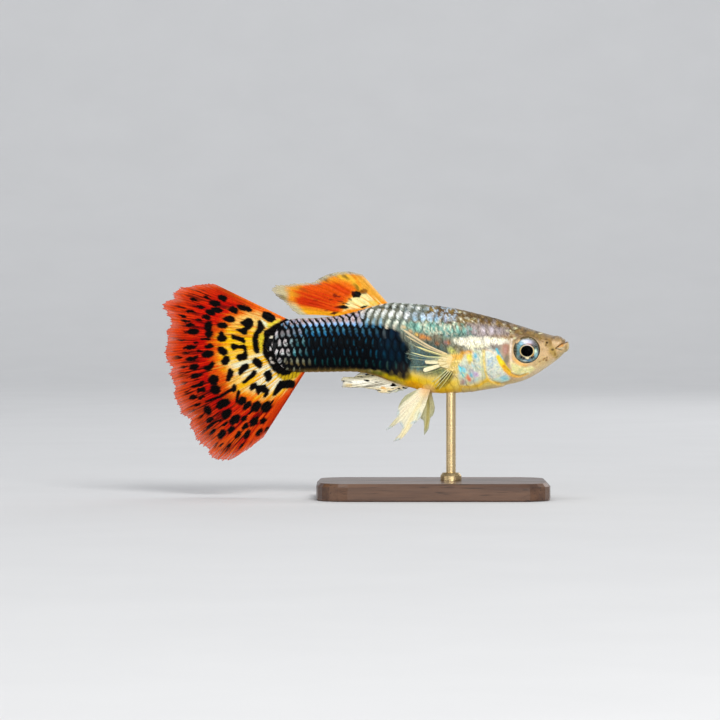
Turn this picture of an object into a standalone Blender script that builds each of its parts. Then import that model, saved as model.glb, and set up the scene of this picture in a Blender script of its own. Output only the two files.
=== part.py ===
"""Fancy guppy, adult male: a life-size still model of the fish, held over a small display stand by one rod.

The frame: +X towards the head, +Z up, the fish's right flank towards -Y. The origin is on the floor, under the middle of the model.
Every size below is in millimetres, and is turned into metres where a mesh is made.
"""

import math

import bmesh
import bpy
import numpy as np
from mathutils import Vector

MM = 0.001

# ---- driving sizes, in mm ----
TOTAL_LENGTH = 42.0  # lip to tail fin margin
SNOUT_X = TOTAL_LENGTH / 2
GAP = 0.3  # between neighbouring pieces
EYE_GAP = 0.2

# Cross-sections of the body, lip to tail root: distance behind the lip, height of back, of belly and of the widest level, half width
SECTIONS = {
    "lip": (0.0, 15.95, 15.78, 15.87, 0.16),
    "upper_lip": (0.30, 16.36, 15.12, 15.85, 0.80),
    "gape": (0.90, 16.66, 14.48, 15.72, 1.12),
    "snout": (1.80, 16.90, 13.78, 15.52, 1.44),
    "eye": (4.14, 17.60, 12.34, 15.38, 2.04),
    "cheek": (6.60, 18.37, 11.65, 15.38, 2.38),
    "nape": (9.11, 19.04, 11.09, 15.45, 2.54),
    "shoulder": (11.60, 19.62, 10.86, 15.55, 2.54),
    "pelvis": (14.08, 19.98, 10.90, 15.70, 2.36),
    "vent": (16.60, 20.17, 11.52, 15.88, 2.03),
    "dorsal_front": (18.73, 20.20, 12.20, 16.00, 1.72),
    "dorsal_mid": (21.20, 19.56, 12.95, 16.02, 1.42),
    "dorsal_rear": (24.00, 18.88, 13.04, 15.98, 1.16),
    "stalk": (26.70, 18.62, 13.00, 15.90, 0.96),
    "fin_root": (28.90, 18.46, 13.12, 15.82, 0.66),
    "tail_plate": (30.10, 17.62, 14.05, 15.85, 0.36),
    "plate_edge": (30.60, 16.50, 15.25, 15.87, 0.16),
}
BACK_SQUARE, BELLY_SQUARE = (2.4, 2.1)  # superellipse powers of the head, easing to 2 at the tail
GILL_CUT, STALK_CUT = (8.0, 21.4)  # where head, trunk and tail stalk part, behind the lip
GILL_BULGE, STALK_BULGE = (1.0, 0.5)
COVER_FRONT, COVER_REAR, COVER_LOW, COVER_TOP = (5.9, 8.6, 12.35, 17.05)  # the gill cover's plate
COVER_INNER = 1.35  # how far from the midline its inner face lies

EYE_X, EYE_Z, EYE_RADIUS, EYE_DEPTH, EYE_SIT = (4.35, 15.36, 1.41, 0.98, 1.34)

MOUTH_FRONT, MOUTH_CORNER, MOUTH_SLIT = (16.02, (1.28, 15.53), 0.15)  # height at the lip, place of the corner, height of the slit

TAIL_SWEEP, TAIL_RIPPLE = (2.2, 0.30)  # how far the tail fin swings to the left at its margin, and its folds
STALK_SWEEP = 0.35  # how far the tail root itself swings

FIN_THICK = 0.56
CAUDAL_FOCUS, CAUDAL_TOP, CAUDAL_BOTTOM = ((24.94, 16.56), 25.6, 57.4)  # where its rays would meet, and its edges in degrees
CAUDAL_RAYS = (12.9, 16.0, 17.0, 17.06, 16.9, 16.85, 16.8, 16.9, 17.0, 17.2, 16.85, 16.2, 12.4)
DORSAL_BASE = ((18.75, 19.95), (22.6, 18.95))  # front and rear end of its base
DORSAL_TIPS = ((21.42, 23.29), (23.60, 23.58), (25.6, 22.9), (27.95, 22.18), (30.30, 21.86), (29.90, 20.6), (27.9, 18.95))
ANAL_BASE = ((16.5, 11.75), (20.2, 13.05))
ANAL_TIPS = ((18.7, 10.82), (21.1, 11.42), (23.6, 11.48), (23.35, 12.45), (21.6, 12.83))
PECTORAL_BASE = ((12.25, 14.95), (12.0, 13.15))
PECTORAL_TIPS = ((17.05, 17.45), (17.5, 16.3), (17.4, 14.9), (16.9, 13.6), (15.5, 12.55), (13.95, 11.55))
PECTORAL_SPLAY = 24.0
# Each pelvic fin: its root, then pairs of swing from straight down towards the tail and length there, then its sideways splay
PELVIC = {
    "r": (
        (14.7, 11.18),
        ((-24, 0.75), (-2, 1.35), (6, 2.2), (13, 3.1), (20, 3.7), (27, 5.0), (33, 6.3), (37, 4.3), (42, 4.4), (46, 5.9), (50, 4.0), (57, 3.5), (74, 2.3), (92, 1.0)),
        20.0,
    ),
    "l": (
        (14.4, 11.07),
        ((-30, 0.8), (-19, 1.6), (-14, 2.5), (-6, 2.85), (0, 3.9), (6, 4.7), (11, 3.4), (18, 3.0), (32, 2.4), (50, 1.4)),
        27.0,
    ),
}

BASE_X, BASE_LENGTH, BASE_WIDTH, BASE_THICK, BASE_CORNER, BASE_BEVEL = (7.0, 24.0, 15.0, 1.8, 3.2, 0.35)
ROD_X, ROD_RADIUS, ROD_DEPTH, ROD_CLEAR = (12.1, 0.5, 1.3, 0.12)
COLLAR_RADIUS, COLLAR_HEIGHT = (1.1, 0.8)


def natural_spline(values):
    """A smooth curve through evenly numbered values: returns f(t) for t from 0 to n - 1."""
    y = np.asarray(values, float)
    n = len(y)
    a = np.zeros((n, n))
    b = np.zeros(n)
    a[0, 0] = a[-1, -1] = 1
    for i in range(1, n - 1):
        a[i, i - 1 : i + 2] = (1, 4, 1)
        b[i] = 6 * (y[i - 1] - 2 * y[i] + y[i + 1])
    m = np.linalg.solve(a, b)

    def f(t):
        t = np.clip(np.asarray(t, float), 0, n - 1)
        i = np.minimum(t.astype(int), n - 2)
        d = t - i
        e = 1 - d
        return y[i] * e + y[i + 1] * d + (m[i] * (e**3 - e) + m[i + 1] * (d**3 - d)) / 6

    return f


BODY = [natural_spline(column) for column in zip(*SECTIONS.values())]
LAST = len(SECTIONS) - 1


def sweep(back):
    """Sideways place of the body's midline, which swings gently to the left from behind the vent."""
    t = np.clip((np.asarray(back, float) - 19.0) / 11.6, 0, None)
    return STALK_SWEEP * t**2


def ring(t, around, grow=0.0):
    """One cross-section of the body, as points in mm, grown outwards by grow."""
    back, top, low, wide, half = (f(t) for f in BODY)
    top, low, half = top + grow, low - grow, half + grow
    tail = np.clip((back - 4.0) / 14.0, 0, 1)
    tail = tail * tail * (3 - 2 * tail)
    points = []
    for i in range(around):
        phi = 2 * math.pi * i / around
        s, c = math.sin(phi), math.cos(phi)
        power = (BACK_SQUARE if c > 0 else BELLY_SQUARE) * (1 - tail) + 2.0 * tail
        blunt = min(1.0, float(back) / 1.2)
        power = 2.0 + (power - 2.0) * blunt
        y = half * math.copysign(abs(s) ** (2 / power), s)
        z = wide + (top - wide if c > 0 else wide - low) * math.copysign(abs(c) ** (2 / power), c)
        points.append((SNOUT_X - back, float(sweep(back)) - y, z))
    return points


def clear_scene():
    for obj in list(bpy.data.objects):
        bpy.data.objects.remove(obj, do_unlink=True)


def finish(name, verts, faces, paint=None, smooth=True):
    """A named object from points in mm and faces, with its own material, or a hidden cutter where paint is None."""
    mesh = bpy.data.meshes.new(name)
    mesh.from_pydata([Vector(v) * MM for v in verts], [], faces)
    bm = bmesh.new()
    bm.from_mesh(mesh)
    bmesh.ops.remove_doubles(bm, verts=bm.verts, dist=1e-7)
    bmesh.ops.recalc_face_normals(bm, faces=bm.faces)
    bm.to_mesh(mesh)
    bm.free()
    obj = bpy.data.objects.new(name, mesh)
    bpy.context.scene.collection.objects.link(obj)
    if paint is None:
        obj.hide_render = True
        obj.display_type = "WIRE"
        return obj
    colour, roughness, metallic = paint
    material = bpy.data.materials.new(name)
    material.use_nodes = True
    shader = material.node_tree.nodes["Principled BSDF"]
    shader.inputs["Base Color"].default_value = (*colour, 1)
    shader.inputs["Roughness"].default_value = roughness
    shader.inputs["Metallic"].default_value = metallic
    mesh.materials.append(material)
    if smooth:
        mesh.shade_smooth()
        mesh.set_sharp_from_angle(angle=math.radians(40))
    return obj


def boolean(obj, cutter, operation, solver="EXACT"):
    modifier = obj.modifiers.new(cutter.name, "BOOLEAN")
    modifier.object = cutter
    modifier.operation = operation
    modifier.solver = solver


def body_mesh(steps, around, grow=0.0):
    verts, faces = [], []
    ts = np.linspace(0, LAST, steps)
    for t in ts:
        verts += ring(t, around, grow)
    for k in range(steps - 1):
        for i in range(around):
            j = (i + 1) % around
            faces.append((k * around + i, k * around + j, (k + 1) * around + j, (k + 1) * around + i))
    for k, turn in ((0, -1), (steps - 1, 1)):
        centre = len(verts)
        rim = verts[k * around : (k + 1) * around]
        nudge = -turn * -0.02 if grow == 0 else turn * -grow
        verts.append(tuple(np.mean(rim, axis=0) + np.array([nudge, 0, 0])))
        faces += [(k * around + i, k * around + (i + 1) % around, centre) for i in range(around)]
    return verts, faces


def slab(name, outline):
    """A cutter: an outline in the X-Z plane, in mm, extruded across the whole fish."""
    n = len(outline)
    verts = [(x, y, z) for y in (-9.0, 9.0) for x, z in outline]
    faces = [tuple(range(n)), tuple(range(2 * n - 1, n - 1, -1))]
    faces += [(i, n + i, n + (i + 1) % n, (i + 1) % n) for i in range(n)]
    return finish(name, verts, faces)


def plate(name, side, grow):
    """A cutter for a gill cover: a rounded upright plate, from its inner face outwards, grown all round by grow."""
    mx, mz = (COVER_FRONT + COVER_REAR) / 2, (COVER_LOW + COVER_TOP) / 2
    a, b = (COVER_REAR - COVER_FRONT) / 2 + grow, (COVER_TOP - COVER_LOW) / 2 + grow
    outline = []
    for k in range(20):
        angle = 2 * math.pi * k / 20
        c, s = math.cos(angle), math.sin(angle)
        lean = -0.35 * s if c < 0 else 0.0
        outline.append((SNOUT_X - (mx + a * math.copysign(abs(c) ** 0.8, c) + lean), mz + b * math.copysign(abs(s) ** 0.8, s)))
    inner, outer = side * (COVER_INNER - grow), side * 9.0
    verts = [(x, y, z) for y in (inner, outer) for x, z in outline]
    n = len(outline)
    faces = [tuple(range(n)), tuple(range(2 * n - 1, n - 1, -1))]
    faces += [(i, n + i, n + (i + 1) % n, (i + 1) % n) for i in range(n)]
    return finish(name, verts, faces)


def cut_line(back, bulge, shift):
    """A curved parting line from back to belly, bowed towards the tail."""
    return [
        (SNOUT_X - back - shift - bulge * (1 - ((z - 15.6) / 5.6) ** 2), z)
        for z in np.linspace(10.0, 21.5, 13)
    ]


def grid_solid(name, mid, half, paint, cut=None, solver="EXACT"):
    """A fin: a grid of points on its middle surface, given a thickness either way, closed round its border."""
    mid = np.asarray(mid, float)
    rows, cols = mid.shape[:2]
    du = np.gradient(mid, axis=0)
    dv = np.gradient(mid, axis=1)
    normal = np.cross(du, dv)
    normal /= np.maximum(np.linalg.norm(normal, axis=2, keepdims=True), 1e-9)
    for _ in range(3):  # even out the direction, so that tight spots don't fold
        padded = np.pad(normal, ((1, 1), (1, 1), (0, 0)), mode="edge")
        normal = (padded[:-2, 1:-1] + padded[2:, 1:-1] + padded[1:-1, :-2] + padded[1:-1, 2:] + normal) / 5
        normal /= np.linalg.norm(normal, axis=2, keepdims=True)
    offset = normal * np.broadcast_to(np.asarray(half, float), (rows, cols))[..., None]
    verts = np.concatenate([(mid + offset).reshape(-1, 3), (mid - offset).reshape(-1, 3)])
    n = rows * cols

    def at(r, c, side):
        return side * n + r * cols + c

    faces = []
    for side in (0, 1):
        for r in range(rows - 1):
            for c in range(cols - 1):
                q = (at(r, c, side), at(r, c + 1, side), at(r + 1, c + 1, side), at(r + 1, c, side))
                faces.append(q if side else q[::-1])
    border = (
        [(0, c) for c in range(cols - 1)]
        + [(r, cols - 1) for r in range(rows - 1)]
        + [(rows - 1, c) for c in range(cols - 1, 0, -1)]
        + [(r, 0) for r in range(rows - 1, 0, -1)]
    )
    for k, (r, c) in enumerate(border):
        r2, c2 = border[(k + 1) % len(border)]
        faces.append((at(r, c, 0), at(r2, c2, 0), at(r2, c2, 1), at(r, c, 1)))
    obj = finish(name, verts, faces, paint)
    for cutter in cut or ():
        boolean(obj, cutter, "DIFFERENCE", solver)
    return obj


def caudal_grid(rays=41, along=7, start=2.2):
    fx, fz = SNOUT_X - CAUDAL_FOCUS[0], CAUDAL_FOCUS[1]
    length = natural_spline(CAUDAL_RAYS)
    mid = []
    for k in range(along):
        row = []
        for i in range(rays):
            t = i / (rays - 1)
            angle = math.radians(CAUDAL_BOTTOM * t - CAUDAL_TOP * (1 - t))
            r = start + (float(length(t * (len(CAUDAL_RAYS) - 1))) - start) * k / (along - 1)
            out = max(0.0, (r - 5.0) / 12.0)
            y = float(sweep(CAUDAL_FOCUS[0] + min(r, 6.0))) + TAIL_SWEEP * out**1.6 + TAIL_RIPPLE * out * math.sin(19 * t + 0.6)
            row.append((fx - r * math.cos(angle), y, fz - r * math.sin(angle)))
        mid.append(row)
    return mid


def fan(base, tips, rays, along, side_place, lift=1.0):
    """Rays from a short base line to a smooth row of tips; side_place(t, u) gives each point's place across."""
    tip = [natural_spline(column) for column in zip(*tips)]
    mid = []
    for k in range(along):
        u = k / (along - 1)
        row = []
        for i in range(rays):
            t = i / (rays - 1)
            bx, bz = (base[0][n] + (base[1][n] - base[0][n]) * t for n in (0, 1))
            tx, tz = (float(f(t * (len(tips) - 1))) for f in tip)
            row.append((SNOUT_X - (bx + (tx - bx) * u), side_place(t, u), bz + (tz - bz) * u**lift))
        mid.append(row)
    return mid


def dorsal_grid():
    base = ((DORSAL_BASE[0][0], DORSAL_BASE[0][1] - 0.5), (DORSAL_BASE[1][0], DORSAL_BASE[1][1] - 0.5))
    return fan(base, DORSAL_TIPS, 24, 7, lambda t, u: u**1.5 * (0.12 + 0.5 * math.sin(2.4 * t + 0.3)))


def anal_grid():
    return fan(ANAL_BASE, ANAL_TIPS, 14, 7, lambda t, u: 0.12 * math.sin(3 * u), 0.85)


def pectoral_grid(side):
    splay = math.tan(math.radians(PECTORAL_SPLAY))
    return fan(
        PECTORAL_BASE,
        PECTORAL_TIPS,
        18,
        6,
        lambda t, u: side * (2.25 - 0.3 * t + 5.0 * u * splay * (1 - 0.45 * t) + 0.16 * u * math.sin(9 * t)),
    )


def pelvic_grid(side, spec, along=7):
    (root_x, root_z), pairs, splay = spec
    swings, lengths = zip(*pairs)
    swing, length = natural_spline(swings), natural_spline(lengths)
    rays = 2 * len(pairs) - 1
    mid = []
    for k in range(along):
        row = []
        for i in range(rays):
            t = i / 2
            r = 0.12 + (float(length(t)) - 0.12) * k / (along - 1)
            angle = math.radians(float(swing(t)))
            y = 0.6 + r * math.tan(math.radians(splay)) * (1 - 0.05 * r)
            row.append((SNOUT_X - root_x - r * math.sin(angle), side * y, root_z - r * math.cos(angle)))
        mid.append(row)
    return mid


def eye(side):
    """An eyeball flattened sideways, set in its socket."""
    rings, around = 10, 20
    verts, faces = [], []
    cx, cy, cz = SNOUT_X - EYE_X, side * EYE_SIT, EYE_Z
    for k in range(1, rings):
        a = math.pi * k / rings
        for i in range(around):
            b = 2 * math.pi * i / around
            verts.append((math.sin(a) * math.cos(b), math.cos(a), math.sin(a) * math.sin(b)))
    verts += [(0, 1, 0), (0, -1, 0)]
    for k in range(rings - 2):
        for i in range(around):
            j = (i + 1) % around
            faces.append((k * around + i, k * around + j, (k + 1) * around + j, (k + 1) * around + i))
    last = (rings - 2) * around
    faces += [(i, (i + 1) % around, len(verts) - 2) for i in range(around)]
    faces += [(last + i, last + (i + 1) % around, len(verts) - 1) for i in range(around)]

    def sized(grow):
        return [
            (cx + v[0] * (EYE_RADIUS + grow), cy + v[1] * (EYE_DEPTH + grow), cz + v[2] * (EYE_RADIUS + grow))
            for v in verts
        ]

    tag = "r" if side < 0 else "l"
    ball = finish(f"eye_{tag}", sized(0), faces, ((0.35, 0.42, 0.45), 0.15, 0.5))
    socket = finish(f"cut_socket_{tag}", sized(EYE_GAP), faces)
    return ball, socket


def turned(name, profile, x, around=28, paint=None):
    """A solid turned about an upright axis at x from (radius, height) pairs, bottom to top."""
    verts, faces = [(x, 0, profile[0][1])], []
    for radius, z in profile:
        verts += [
            (x + radius * math.cos(2 * math.pi * i / around), radius * math.sin(2 * math.pi * i / around), z)
            for i in range(around)
        ]
    verts.append((x, 0, profile[-1][1]))
    for i in range(around):
        j = (i + 1) % around
        faces.append((0, 1 + j, 1 + i))
        for k in range(len(profile) - 1):
            a = 1 + k * around
            faces.append((a + i, a + j, a + around + j, a + around + i))
        a = 1 + (len(profile) - 1) * around
        faces.append((a + i, a + j, len(verts) - 1))
    return finish(name, verts, faces, paint)


def stand_base():
    """A slab with round corners and a bevelled rim."""
    def outline(inset, z):
        points = []
        a, b = BASE_LENGTH / 2 - inset, BASE_WIDTH / 2 - inset
        r = BASE_CORNER - inset
        for quarter, (sx, sy) in enumerate(((1, 1), (-1, 1), (-1, -1), (1, -1))):
            for k in range(6):
                angle = math.radians(90 * quarter + 90 * k / 5)
                points.append((BASE_X + sx * (a - r) + r * math.cos(angle), sy * (b - r) + r * math.sin(angle), z))
        return points

    levels = ((0.12, 0.0), (0.0, 0.12), (0.0, BASE_THICK - BASE_BEVEL), (BASE_BEVEL, BASE_THICK))
    verts, faces = [], []
    for inset, z in levels:
        verts += outline(inset, z)
    n = 24
    faces.append(tuple(range(n - 1, -1, -1)))
    faces.append(tuple(range((len(levels) - 1) * n, len(levels) * n)))
    for k in range(len(levels) - 1):
        faces += [(k * n + i, k * n + (i + 1) % n, (k + 1) * n + (i + 1) % n, (k + 1) * n + i) for i in range(n)]
    return finish("stand_base", verts, faces, ((0.16, 0.08, 0.045), 0.4, 0.0))


def main():
    clear_scene()
    around = 24
    skin_colours = {
        "head": ((0.52, 0.40, 0.24), 0.35, 0.1),
        "trunk": ((0.55, 0.52, 0.38), 0.3, 0.2),
        "tail_stalk": ((0.02, 0.03, 0.06), 0.3, 0.2),
    }
    eyes = [eye(-1), eye(1)]
    far = 3.0
    gill = cut_line(GILL_CUT, GILL_BULGE, 0.0)
    gill_rear = cut_line(GILL_CUT, GILL_BULGE, GAP)
    stalk = cut_line(STALK_CUT, STALK_BULGE, 0.0)
    stalk_rear = cut_line(STALK_CUT, STALK_BULGE, GAP)
    regions = {
        "head": slab("cut_head", [(SNOUT_X + far, 10.0)] + [(SNOUT_X + far, 21.5)] + gill[::-1]),
        "trunk": slab("cut_trunk", gill_rear + stalk[::-1]),
        "tail_stalk": slab("cut_stalk", stalk_rear + [(SNOUT_X - 31.05 - far, 21.5), (SNOUT_X - 31.05 - far, 10.0)]),
    }
    corner_x, corner_z = SNOUT_X - MOUTH_CORNER[0], MOUTH_CORNER[1]
    rise = (MOUTH_FRONT - corner_z) * (MOUTH_CORNER[0] + 0.6) / MOUTH_CORNER[0]
    slit = slab(
        "cut_mouth",
        [
            (corner_x, corner_z - 0.03),
            (SNOUT_X + 0.6, corner_z + rise - MOUTH_SLIT / 2),
            (SNOUT_X + 0.6, corner_z + rise + MOUTH_SLIT),
            (corner_x, corner_z + 0.03),
        ],
    )
    covers = {
        side: (plate(f"cut_cover_{side}", side, 0.0), plate(f"cut_cover_pocket_{side}", side, GAP)) for side in (-1, 1)
    }
    belly_z = float(BODY[2](np.interp(ROD_X, [BODY[0](t) for t in np.linspace(0, LAST, 400)], np.linspace(0, LAST, 400))))
    bore = turned(
        "cut_rod_hole",
        [(ROD_RADIUS + ROD_CLEAR, belly_z - 2.0), (ROD_RADIUS + ROD_CLEAR, belly_z + ROD_DEPTH + GAP)],
        SNOUT_X - ROD_X,
        around=20,
    )
    for name, region in regions.items():
        piece = finish(name, *body_mesh(56, around), skin_colours[name])
        boolean(piece, region, "INTERSECT")
        if name == "head":
            for _, socket in eyes:
                boolean(piece, socket, "DIFFERENCE")
            boolean(piece, slit, "DIFFERENCE")
            for _, pocket in covers.values():
                boolean(piece, pocket, "DIFFERENCE")
        if name == "trunk":
            boolean(piece, bore, "DIFFERENCE")
    for side, tag in ((-1, "r"), (1, "l")):
        cover = finish(f"gill_cover_{tag}", *body_mesh(56, around), ((0.45, 0.50, 0.45), 0.25, 0.3))
        boolean(cover, covers[side][0], "INTERSECT")
        boolean(cover, regions["head"], "INTERSECT")
    grown = finish("cut_body", *body_mesh(48, 22, grow=GAP))

    half = FIN_THICK / 2
    along = np.linspace(0, 1, 7)[:, None]
    grid_solid("caudal_fin", caudal_grid(), half * (1 - 0.08 * along), ((0.75, 0.06, 0.01), 0.45, 0.0), [grown])
    grid_solid("dorsal_fin", dorsal_grid(), half, ((0.85, 0.35, 0.06), 0.45, 0.0), [grown])
    grid_solid("anal_fin", anal_grid(), half, ((0.85, 0.80, 0.66), 0.45, 0.0), [grown])
    for side, tag in ((-1, "r"), (1, "l")):
        grid_solid(f"pectoral_fin_{tag}", pectoral_grid(side), half, ((0.80, 0.72, 0.48), 0.45, 0.0), [grown])
        grid_solid(f"pelvic_fin_{tag}", pelvic_grid(side, PELVIC[tag]), half, ((0.85, 0.82, 0.62), 0.45, 0.0), [grown], "MANIFOLD")

    brass = ((0.78, 0.57, 0.30), 0.25, 1.0)
    stand_base()
    foot = BASE_THICK + 0.02
    turned(
        "stand_rod",
        [
            (COLLAR_RADIUS, foot),
            (COLLAR_RADIUS, foot + COLLAR_HEIGHT * 0.6),
            (COLLAR_RADIUS * 0.8, foot + COLLAR_HEIGHT),
            (ROD_RADIUS, foot + COLLAR_HEIGHT + 0.05),
            (ROD_RADIUS, belly_z + ROD_DEPTH - 0.1),
            (ROD_RADIUS * 0.8, belly_z + ROD_DEPTH),
        ],
        SNOUT_X - ROD_X,
        paint=brass,
    )


main()
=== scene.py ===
import math

import bpy
import numpy as np
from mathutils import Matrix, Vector


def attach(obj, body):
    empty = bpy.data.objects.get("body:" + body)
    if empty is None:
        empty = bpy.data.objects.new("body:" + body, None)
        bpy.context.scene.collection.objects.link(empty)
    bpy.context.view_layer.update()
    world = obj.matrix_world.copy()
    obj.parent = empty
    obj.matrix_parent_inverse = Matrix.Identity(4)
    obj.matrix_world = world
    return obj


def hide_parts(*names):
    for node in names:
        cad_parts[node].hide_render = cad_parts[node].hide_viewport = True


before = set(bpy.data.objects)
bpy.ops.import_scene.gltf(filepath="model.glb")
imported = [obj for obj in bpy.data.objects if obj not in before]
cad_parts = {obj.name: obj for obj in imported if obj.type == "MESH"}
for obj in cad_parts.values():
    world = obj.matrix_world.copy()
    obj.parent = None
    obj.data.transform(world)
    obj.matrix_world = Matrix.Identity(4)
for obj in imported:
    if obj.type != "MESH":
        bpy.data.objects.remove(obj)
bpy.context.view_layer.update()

MM = 0.001
K = 0.1035  # mm to one pixel of the photograph
SNOUT_X = 21.0


# ------------------------------------------------------------------ small helpers

def smooth(a, b, x):
    t = np.clip((np.asarray(x, float) - a) / (b - a), 0, 1)
    return t * t * (3 - 2 * t)


def to_px(x, z):
    """Place in the side view, in the photograph's pixels, of a point in mm."""
    return 365.0 + x / K, 498.0 - z / K


def from_px(u, v):
    return (u - 365.0) * K, (498.0 - v) * K


def rgb(r, g, b):
    """Linear colour from 0-255 display values."""
    c = np.array([r, g, b], float) / 255
    return np.where(c <= 0.04045, c / 12.92, ((c + 0.055) / 1.055) ** 2.4)


def natural_spline(values):
    y = np.asarray(values, float)
    n = len(y)
    a = np.zeros((n, n))
    b = np.zeros(n)
    a[0, 0] = a[-1, -1] = 1
    for i in range(1, n - 1):
        a[i, i - 1 : i + 2] = (1, 4, 1)
        b[i] = 6 * (y[i - 1] - 2 * y[i] + y[i + 1])
    m = np.linalg.solve(a, b)

    def f(t):
        t = np.clip(np.asarray(t, float), 0, n - 1)
        i = np.minimum(t.astype(int), n - 2)
        d = t - i
        e = 1 - d
        return y[i] * e + y[i + 1] * d + (m[i] * (e**3 - e) + m[i + 1] * (d**3 - d)) / 6

    return f


_tables = {}


def noise(u, v, seed=0):
    """Smooth value noise from 0 to 1, one cell to each unit."""
    if seed not in _tables:
        _tables[seed] = np.random.default_rng(1000 + seed).random((64, 64))
    tab = _tables[seed]
    iu, iv = np.floor(u).astype(int), np.floor(v).astype(int)
    fu, fv = u - iu, v - iv
    fu, fv = fu * fu * (3 - 2 * fu), fv * fv * (3 - 2 * fv)
    iu, iv, ju, jv = iu % 64, iv % 64, (iu + 1) % 64, (iv + 1) % 64
    return (
        tab[iu, iv] * (1 - fu) * (1 - fv) + tab[ju, iv] * fu * (1 - fv) + tab[iu, jv] * (1 - fu) * fv + tab[ju, jv] * fu * fv
    )


def cloud(u, v, size, seed=0, octaves=3):
    """Layered noise from about 0 to 1; size is the largest grain, in the units of u and v."""
    total, weight, amp = 0.0, 0.0, 1.0
    for k in range(octaves):
        f = 2.0**k / size
        total = total + amp * noise(u * f + 11.3 * k, v * f + 7.7 * k, seed + k)
        weight += amp
        amp *= 0.5
    return total / weight


def blob(u, v, cx, cy, rx, ry=None, turn=0.0, soft=0.4):
    """1 inside an ellipse, 0 outside, with a soft edge. turn is in degrees, clockwise on the picture."""
    ry = rx if ry is None else ry
    c, s = math.cos(math.radians(turn)), math.sin(math.radians(turn))
    du, dv = u - cx, v - cy
    d = np.sqrt(((du * c + dv * s) / rx) ** 2 + ((-du * s + dv * c) / ry) ** 2)
    return 1 - smooth(1 - soft, 1 + soft, d)


def stroke(u, v, *points):
    """(distance to a line through the points, place along it from 0 to 1, signed distance, positive above a line that runs right)."""
    best = np.full(np.shape(u), 1e9)
    along = np.zeros(np.shape(u))
    signed = np.zeros(np.shape(u))
    pts = np.asarray(points, float)
    steps = np.hypot(*(pts[1:] - pts[:-1]).T)
    total, run = steps.sum(), 0.0
    for (ax, ay), (bx, by), length in zip(pts[:-1], pts[1:], steps):
        ex, ey = (bx - ax) / length, (by - ay) / length
        t = np.clip((u - ax) * ex + (v - ay) * ey, 0, length)
        dx, dy = u - ax - ex * t, v - ay - ey * t
        d = np.hypot(dx, dy)
        near = d < best
        best = np.where(near, d, best)
        along = np.where(near, (run + t) / total, along)
        signed = np.where(near, np.sign(dx * ey - dy * ex) * d, signed)
        run += length
    return best, along, signed


def facets(u, v, size, seed=0):
    """Cells of an uneven mosaic: for each point three random numbers of its cell, and how near it is to the cell's edge, 0 at the edge."""
    if ("f", seed) not in _tables:
        _tables["f", seed] = np.random.default_rng(3000 + seed).random((64, 64, 5))
    tab = _tables["f", seed]
    gu, gv = u / size, v / size
    iu, iv = np.floor(gu).astype(int), np.floor(gv).astype(int)
    best = np.full(np.shape(u), 9.0)
    second = np.full(np.shape(u), 9.0)
    pick = np.zeros(np.shape(u) + (3,))
    for du in (-1, 0, 1):
        for dv in (-1, 0, 1):
            t = tab[(iu + du) % 64, (iv + dv) % 64]
            d = np.hypot(gu - iu - du - t[..., 0], gv - iv - dv - t[..., 1])
            nearer = d < best
            second = np.where(nearer, best, np.minimum(second, d))
            pick = np.where(nearer[..., None], t[..., 2:5], pick)
            best = np.where(nearer, d, best)
    return pick, second - best


def region(u, v, points, soft=0.8):
    """1 inside a closed outline, 0 outside."""
    pts = np.asarray(points, float)
    d = stroke(u, v, *points, points[0])[0]
    inside = np.zeros(np.shape(u), bool)
    for (ax, ay), (bx, by) in zip(pts, np.roll(pts, -1, axis=0)):
        cross = (ay > v) != (by > v)
        with np.errstate(divide="ignore", invalid="ignore"):
            at = (bx - ax) * (v - ay) / (by - ay if by != ay else 1e-9) + ax
        inside ^= cross & (u < at)
    return smooth(-soft, soft, np.where(inside, d, -d))


def paint(col, mask, colour):
    """col painted over with a colour, or with one colour for each point, where the mask is."""
    return col + (np.asarray(colour) - col) * np.clip(mask, 0, 1)[..., None]


# ------------------------------------------------------------------ the body's form, as the frame has it

SECTIONS = {
    "lip": (0.0, 15.95, 15.78, 15.87, 0.16),
    "upper_lip": (0.30, 16.36, 15.12, 15.85, 0.80),
    "gape": (0.90, 16.66, 14.48, 15.72, 1.12),
    "snout": (1.80, 16.90, 13.78, 15.52, 1.44),
    "eye": (4.14, 17.60, 12.34, 15.38, 2.04),
    "cheek": (6.60, 18.37, 11.65, 15.38, 2.38),
    "nape": (9.11, 19.04, 11.09, 15.45, 2.54),
    "shoulder": (11.60, 19.62, 10.86, 15.55, 2.54),
    "pelvis": (14.08, 19.98, 10.90, 15.70, 2.36),
    "vent": (16.60, 20.17, 11.52, 15.88, 2.03),
    "dorsal_front": (18.73, 20.20, 12.20, 16.00, 1.72),
    "dorsal_mid": (21.20, 19.56, 12.95, 16.02, 1.42),
    "dorsal_rear": (24.00, 18.88, 13.04, 15.98, 1.16),
    "stalk": (26.70, 18.62, 13.00, 15.90, 0.96),
    "fin_root": (28.90, 18.46, 13.12, 15.82, 0.66),
    "tail_plate": (30.10, 17.62, 14.05, 15.85, 0.36),
    "plate_edge": (30.60, 16.50, 15.25, 15.87, 0.16),
}
BACK_SQUARE, BELLY_SQUARE = (2.4, 2.1)
STALK_SWEEP = 0.35
BODY = [natural_spline(column) for column in zip(*SECTIONS.values())]
LAST = len(SECTIONS) - 1
_t = np.linspace(0, LAST, 4001)
_b = BODY[0](_t)


def t_at(back):
    return np.interp(back, _b, _t)


def sweep(back):
    return STALK_SWEEP * np.clip((np.asarray(back, float) - 19.0) / 11.6, 0, None) ** 2


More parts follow.
